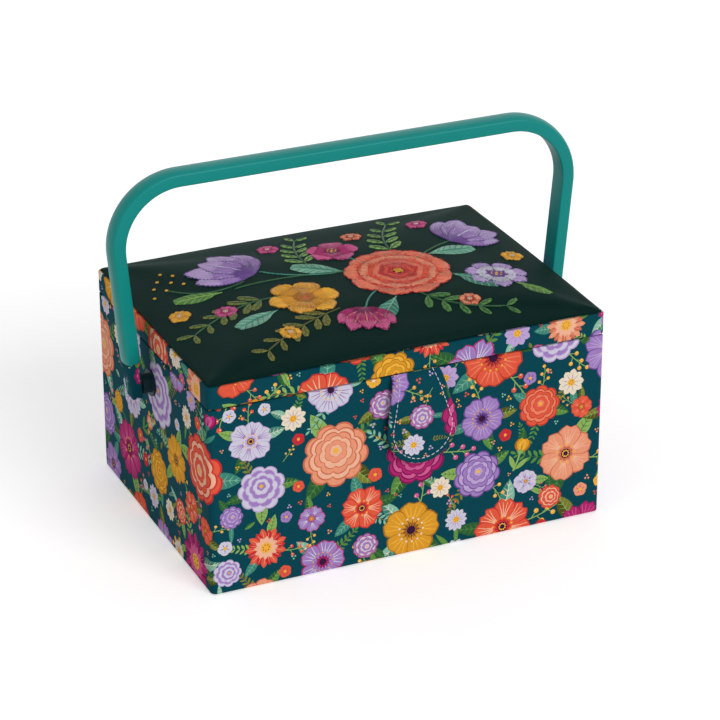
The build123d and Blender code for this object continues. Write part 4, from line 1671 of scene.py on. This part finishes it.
class SEWBOX_OT_tabs(bpy.types.Operator):
    """Printed cotton sleeves round the tabs that join the handle to its pivots"""

    bl_idname = "sewbox.tabs"
    bl_label = "Handle tabs"

    def execute(self, context):
        for side, name, slide, drop in ((-1, "left", 435.0, 114.0), (1, "right", 280.0, 27.0)):
            fold, place = tab_place(side)
            area = (0.0, TAB_ROUND, fold.marks[0], fold.marks[-1])
            lines = [TAB_ROUND * k / 32 for k in range(1, 32)]
            slid = field_moved(print_repeat(), -slide, -drop)
            sleeve = printed_piece(
                name + "_printed_sleeve", [cut_shapes(area, slid, lines, fold.marks[1:-1])], place
            )
            with edited(sleeve.data) as edit:
                bmesh.ops.remove_doubles(edit, verts=edit.verts, dist=2e-6)
                bmesh.ops.recalc_face_normals(edit, faces=edit.faces)
            dress(sleeve, "handle", [name + "_tab_sleeve"])
        return {"FINISHED"}


class SEWBOX_OT_hinge(bpy.types.Operator):
    """Printed cotton strip across the seam at the back, which is the lid's hinge"""

    bl_idname = "sewbox.hinge"
    bl_label = "Cloth hinge"

    def execute(self, context):
        low, high = box_mm("hinge_strip_lower")[0], box_mm("hinge_strip_upper")[1]
        near = (0.3, 0.7, 1.2)
        lines_u = [low.x + s for s in near] + [high.x - s for s in near]
        lines_v = [low.z + s for s in near] + [high.z - s for s in near]
        lines_v += [SEAM + 0.6 * k for k in range(-9, 10)]
        slid = field_moved(print_repeat(), -400.0, 40.0)
        strip = cut_shapes((low.x, high.x, low.z, high.z), slid, lines_u, sorted(lines_v))

        def place(u, v, _):
            inset = min(u - low.x, high.x - u, v - low.z, high.z - v)
            t = min(max(inset, 0.0), 1.0)
            return -u, HALF_DEPTH + 0.05 + 0.52 * math.sqrt(1 - (1 - t) ** 2), v

        hinge = printed_piece("printed_hinge", [strip], place)
        dress(hinge, nodes=["hinge_strip_lower", "hinge_strip_upper"])
        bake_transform(hinge)
        return {"FINISHED"}


def smooth_piece(name, verts, faces, finish, node, slot, body):
    """A smooth piece from points in millimetres, which stands for a node and rides on a body."""
    mesh = new_mesh(name, [Vector(v) * MM for v in verts], [], faces)
    mesh.polygons.foreach_set("use_smooth", [len(face) < 5 for face in faces])
    mesh.materials.append(material(finish))
    piece = new_object(name, mesh)
    dress(piece, body, [node])
    return piece


class SEWBOX_OT_linings(bpy.types.Operator):
    """Plain cotton over the floor, walls and lid inside, and the cover under the base"""

    bl_idname = "sewbox.linings"
    bl_label = "Linings"

    def execute(self, context):
        inside, under = ("lining_cotton", "lining_cloth"), ("base_nonwoven", "base_cloth")
        for name, node, (finish, slot), body, board, low, rise, crown in (
            ("floor_lining", "base_lining", inside, "root", "base_board", 4.95, 1.5, 0.4),
            ("ceiling_lining", "lid_lining", inside, "lid", "lid_board", 125.1, 6.6, 0.35),
            ("underside_cloth", "base_cover", under, "root", "base_board", 0.58, -0.55, 0.0),
        ):
            high = box_mm(node)[1]
            mesh, _ = pad_mesh(high.x - 0.1, high.y - 0.1, low, rise, crown)
            order = 1 if name == "floor_lining" else -1
            faces = [tuple(face.vertices)[::order] for face in mesh.polygons]
            points = [v.co / MM for v in mesh.vertices]
            sheet = smooth_piece(name, points, faces, finish, node, slot, body)
        low, high = box_mm("wall_lining")
        inner = -5.6
        hem = [(-4.75, -3.5), (-4.75, -0.5), (-5.1, 0.0), (-5.45, -0.4), (inner, -3.0)]
        section = [(n, high.z + drop) for n, drop in hem]
        section += [(inner, high.z - 3.0 - (high.z - 8.2) * k / 18) for k in range(1, 19)]
        corners = [u for u in corner_lines(2) if 0 < u < ROUND]
        around = sorted([ROUND * k / 140 for k in range(140)] + corners)
        points = []
        for k, (n, z) in enumerate(section):
            for u in around:
                slack = 0.16 * noise.noise((u / 24, z / 30, 4.0)) if k >= len(hem) else 0.0
                points.append(plan_point(u, n + abs(slack)) + (z,))
        faces = grid_faces(len(around), len(section), True)
        sheet = smooth_piece("inner_wall_lining", points, faces, inside[0], "wall_lining", inside[1], "root")
        return {"FINISHED"}


class SEWBOX_OT_lid_inside(bpy.types.Operator):
    """Gathered pocket with its elastic edge, and the stuffed pincushion, under the lid"""

    bl_idname = "sewbox.lid_inside"
    bl_label = "Pocket and pincushion"

    def execute(self, context):
        low, high = box_mm("lid_pocket")
        columns, rows = 349, 24
        side_hem, top_hem, pleat_width, ruffle_width = 9, 14, 5.8, 4.6
        points = []
        for j in range(rows):
            t = j / (rows - 1)
            for i in range(columns):
                x, y = low.x + (high.x - low.x) * i / (columns - 1), low.y + (high.y - low.y) * t
                hold = min(1.0, (x - low.x) / side_hem, (high.x - x) / side_hem)
                hold *= min(1.0, (high.y - y) / top_hem)
                drift = 1.7 * noise.noise((x / 28, y / 36, 1.0))
                pleat = math.sin(2 * math.pi * x / pleat_width + drift) * (1.0 - 0.6 * t)
                points.append((x, y, high.z - 0.15 - max(hold, 0.0) * (1.1 + 0.8 * pleat)))
        faces = [face[::-1] for face in grid_faces(columns, rows)]
        args = ("lining_cotton", "lid_pocket", "lining_cloth", "lid")
        pocket = smooth_piece("gathered_pocket", points, faces, *args)
        low, high = box_mm("pocket_elastic")
        middle, half = (low + high) / 2, (high - low) / 2
        sides, rings = 10, 349
        points = []
        for j in range(rings):
            x = low.x + (high.x - low.x) * j / (rings - 1)
            swell = 0.86 + 0.13 * math.sin(2 * math.pi * x / ruffle_width + 2 * noise.noise((x / 20, 0, 2.0)))
            for turn in turns(sides):
                y, z = half.y * swell * math.cos(turn), half.z * swell * math.sin(turn)
                points.append((x, middle.y + y, middle.z + z))
        args = ("elastic_braid", "pocket_elastic", "elastic", "lid")
        smooth_piece("ruffled_elastic", points, capped(sides, rings), *args)
        low, high = box_mm("pincushion")
        middle, radius = (low + high) / 2, (high.x - low.x) / 2
        spokes, rings, gores = 96, 14, 16
        points = []
        for j in range(rings):
            turn = math.radians(88 * j / (rings - 1))
            z = high.z - (high.z - low.z) * math.sin(turn) ** 0.9 * 0.995
            for angle in turns(spokes):
                tuck = 1 - 0.03 * (0.5 + 0.5 * math.cos(gores * angle)) * math.cos(turn)
                reach = radius * math.cos(turn) ** 0.8 * tuck
                points.append((*spot_at(middle.x, middle.y, reach, angle), z))
        faces = [face[::-1] for face in capped(spokes, rings)]
        args = ("pincushion_felt", "pincushion", "lining_cloth", "lid")
        cushion = smooth_piece("stuffed_pincushion", points, faces, *args)
        return {"FINISHED"}


class SEWBOX_OT_plain_parts(bpy.types.Operator):
    """Boards, tray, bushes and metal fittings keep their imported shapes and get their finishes"""

    bl_idname = "sewbox.plain_parts"
    bl_label = "Boards, tray and fittings"

    def execute(self, context):
        sides = ("front", "back", "left", "right")
        boards = [side + "_board" for side in sides] + ["lid_rim_" + side for side in sides]
        boards += ["base_board", "lid_board", "flap_board", "left_tab_core", "right_tab_core"]
        for finish, nodes in (
            ("recycled_greyboard", boards),
            ("lining_cotton", ("left_ledge", "right_ledge")),
            ("tray_polypropylene", ("compartment_tray",)),
            ("bush_nylon", ("pivot_bushes",)),
            ("plated_nickel", ("catch_plate", "flap_magnet")),
            ("bright_steel", ("pivot_rivets", "pivot_washers", "catch_washer")),
        ):
            for node in nodes:
                finish_node(node, finish)
        return {"FINISHED"}


def camera_matrix(azimuth, elevation, roll, distance, target):
    """Where the camera stands, from its angles in degrees round a target."""
    a, e, r = (math.radians(x) for x in (azimuth, elevation, roll))
    back = Vector((math.sin(a) * math.cos(e), -math.cos(a) * math.cos(e), math.sin(e)))
    right = (-back).cross(Vector((0, 0, 1))).normalized()
    up = right.cross(-back)
    right, up = right * math.cos(r) + up * math.sin(r), up * math.cos(r) - right * math.sin(r)
    matrix = Matrix((right, up, back)).transposed().to_4x4()
    matrix.translation = Vector(target) + back * distance
    return matrix


def seen_directly(tree):
    """1 for what the camera, a shiny surface or a clear one shows, and 0 for what lights the object."""
    path = add_node(tree, "ShaderNodeLightPath").outputs
    shown = maths(tree, "MAXIMUM", path["Is Camera Ray"], path["Is Glossy Ray"])
    return maths(tree, "MAXIMUM", shown, path["Is Transmission Ray"])


class SEWBOX_OT_stage(bpy.types.Operator):
    """Pale studio floor, soft light and the camera"""

    bl_idname = "sewbox.stage"
    bl_label = "Studio"

    def execute(self, context):
        corners = [(-9, -9, 0), (9, -9, 0), (9, 9, 0), (-9, 9, 0)]
        floor = new_object("floor", new_mesh("floor", corners, [], [(0, 1, 2, 3)]))
        # Seamless paper roll: matt and nearly white.
        paper, tree, shader = new_material("studio_paper", {"Roughness": 0.95, "Specular IOR Level": 0.1})
        dyed(tree, shader, swatch("floor"), object_place(tree), 3.0, 0.995, 1.0)
        glow = maths(tree, "MULTIPLY", seen_directly(tree), 0.37)
        tree.links.new(glow, shader.inputs["Emission Strength"])
        floor.data.materials.append(paper)
        for name, strength, aim, angle in (
            ("key", 1.55, (-0.28, 0.9, -0.5), 36.0),
            ("fill", 0.3, (0.8, 0.45, -0.4), 70.0),
            ("back", 0.35, (-0.3, -0.9, -0.3), 70.0),
        ):
            lamp = bpy.data.lights.new(name, "SUN")
            lamp.energy = strength
            lamp.angle = math.radians(angle)
            holder = new_object(name, lamp)
            holder.rotation_mode = "QUATERNION"
            holder.rotation_quaternion = Vector(aim).to_track_quat("-Z", "Y")
            holder.location = Vector(aim) * -1.5
        world = bpy.data.worlds.new("studio")
        context.scene.world = world
        world.use_nodes = True
        tree = world.node_tree
        tree.nodes.clear()
        strength = ranged(tree, seen_directly(tree), 0.42, 1.0)
        sky = output(tree, "ShaderNodeBackground", {"Color": (1, 1, 1, 1), "Strength": strength})
        add_node(tree, "ShaderNodeOutputWorld", {"Surface": sky})
        camera = bpy.data.cameras.new("camera")
        camera.lens = 147.2
        camera.sensor_width = 36
        camera.clip_end = 100
        holder = new_object("camera", camera)
        holder.matrix_world = camera_matrix(-23.98, 25.36, -0.128, 1.844, (0.0087, 0, 0.0878))
        context.scene.camera = holder
        context.scene.view_settings.view_transform = "Standard"
        return {"FINISHED"}


OPERATORS = (
    SEWBOX_OT_body,
    SEWBOX_OT_rim,
    SEWBOX_OT_pad,
    SEWBOX_OT_embroidery,
    SEWBOX_OT_flap,
    SEWBOX_OT_handle,
    SEWBOX_OT_tabs,
    SEWBOX_OT_hinge,
    SEWBOX_OT_linings,
    SEWBOX_OT_lid_inside,
    SEWBOX_OT_plain_parts,
    SEWBOX_OT_stage,
)


class SEWBOX_PT_panel(bpy.types.Panel):
    """Lists the sewing box's sizes, colours and steps"""

    bl_idname = "SEWBOX_PT_panel"
    bl_label = "Sewing box"
    bl_space_type = "VIEW_3D"
    bl_region_type = "UI"
    bl_category = "Sewing box"

    def draw(self, context):
        scene = context.scene
        for group in (scene.sewing_box_sizes, scene.sewing_box_colours):
            for name in group.__annotations__:
                self.layout.prop(group, name)
        for operator in OPERATORS:
            self.layout.operator(operator.bl_idname)


CLASSES = (SewingBoxSizes, SewingBoxColours) + OPERATORS + (SEWBOX_PT_panel,)


def register():
    """Adds the classes and their settings to Blender."""
    for item in CLASSES:
        bpy.utils.register_class(item)
    bpy.types.Scene.sewing_box_sizes = bpy.props.PointerProperty(type=SewingBoxSizes)
    bpy.types.Scene.sewing_box_colours = bpy.props.PointerProperty(type=SewingBoxColours)


def unregister():
    """Takes the classes and their settings out again."""
    del bpy.types.Scene.sewing_box_colours
    del bpy.types.Scene.sewing_box_sizes
    for item in reversed(CLASSES):
        bpy.utils.unregister_class(item)


def main():
    """Builds the whole scene in order."""
    register()
    for operator in OPERATORS:
        group, step = operator.bl_idname.split(".")
        getattr(getattr(bpy.ops, group), step)()
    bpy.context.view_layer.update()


if __name__ == "__main__":
    main()
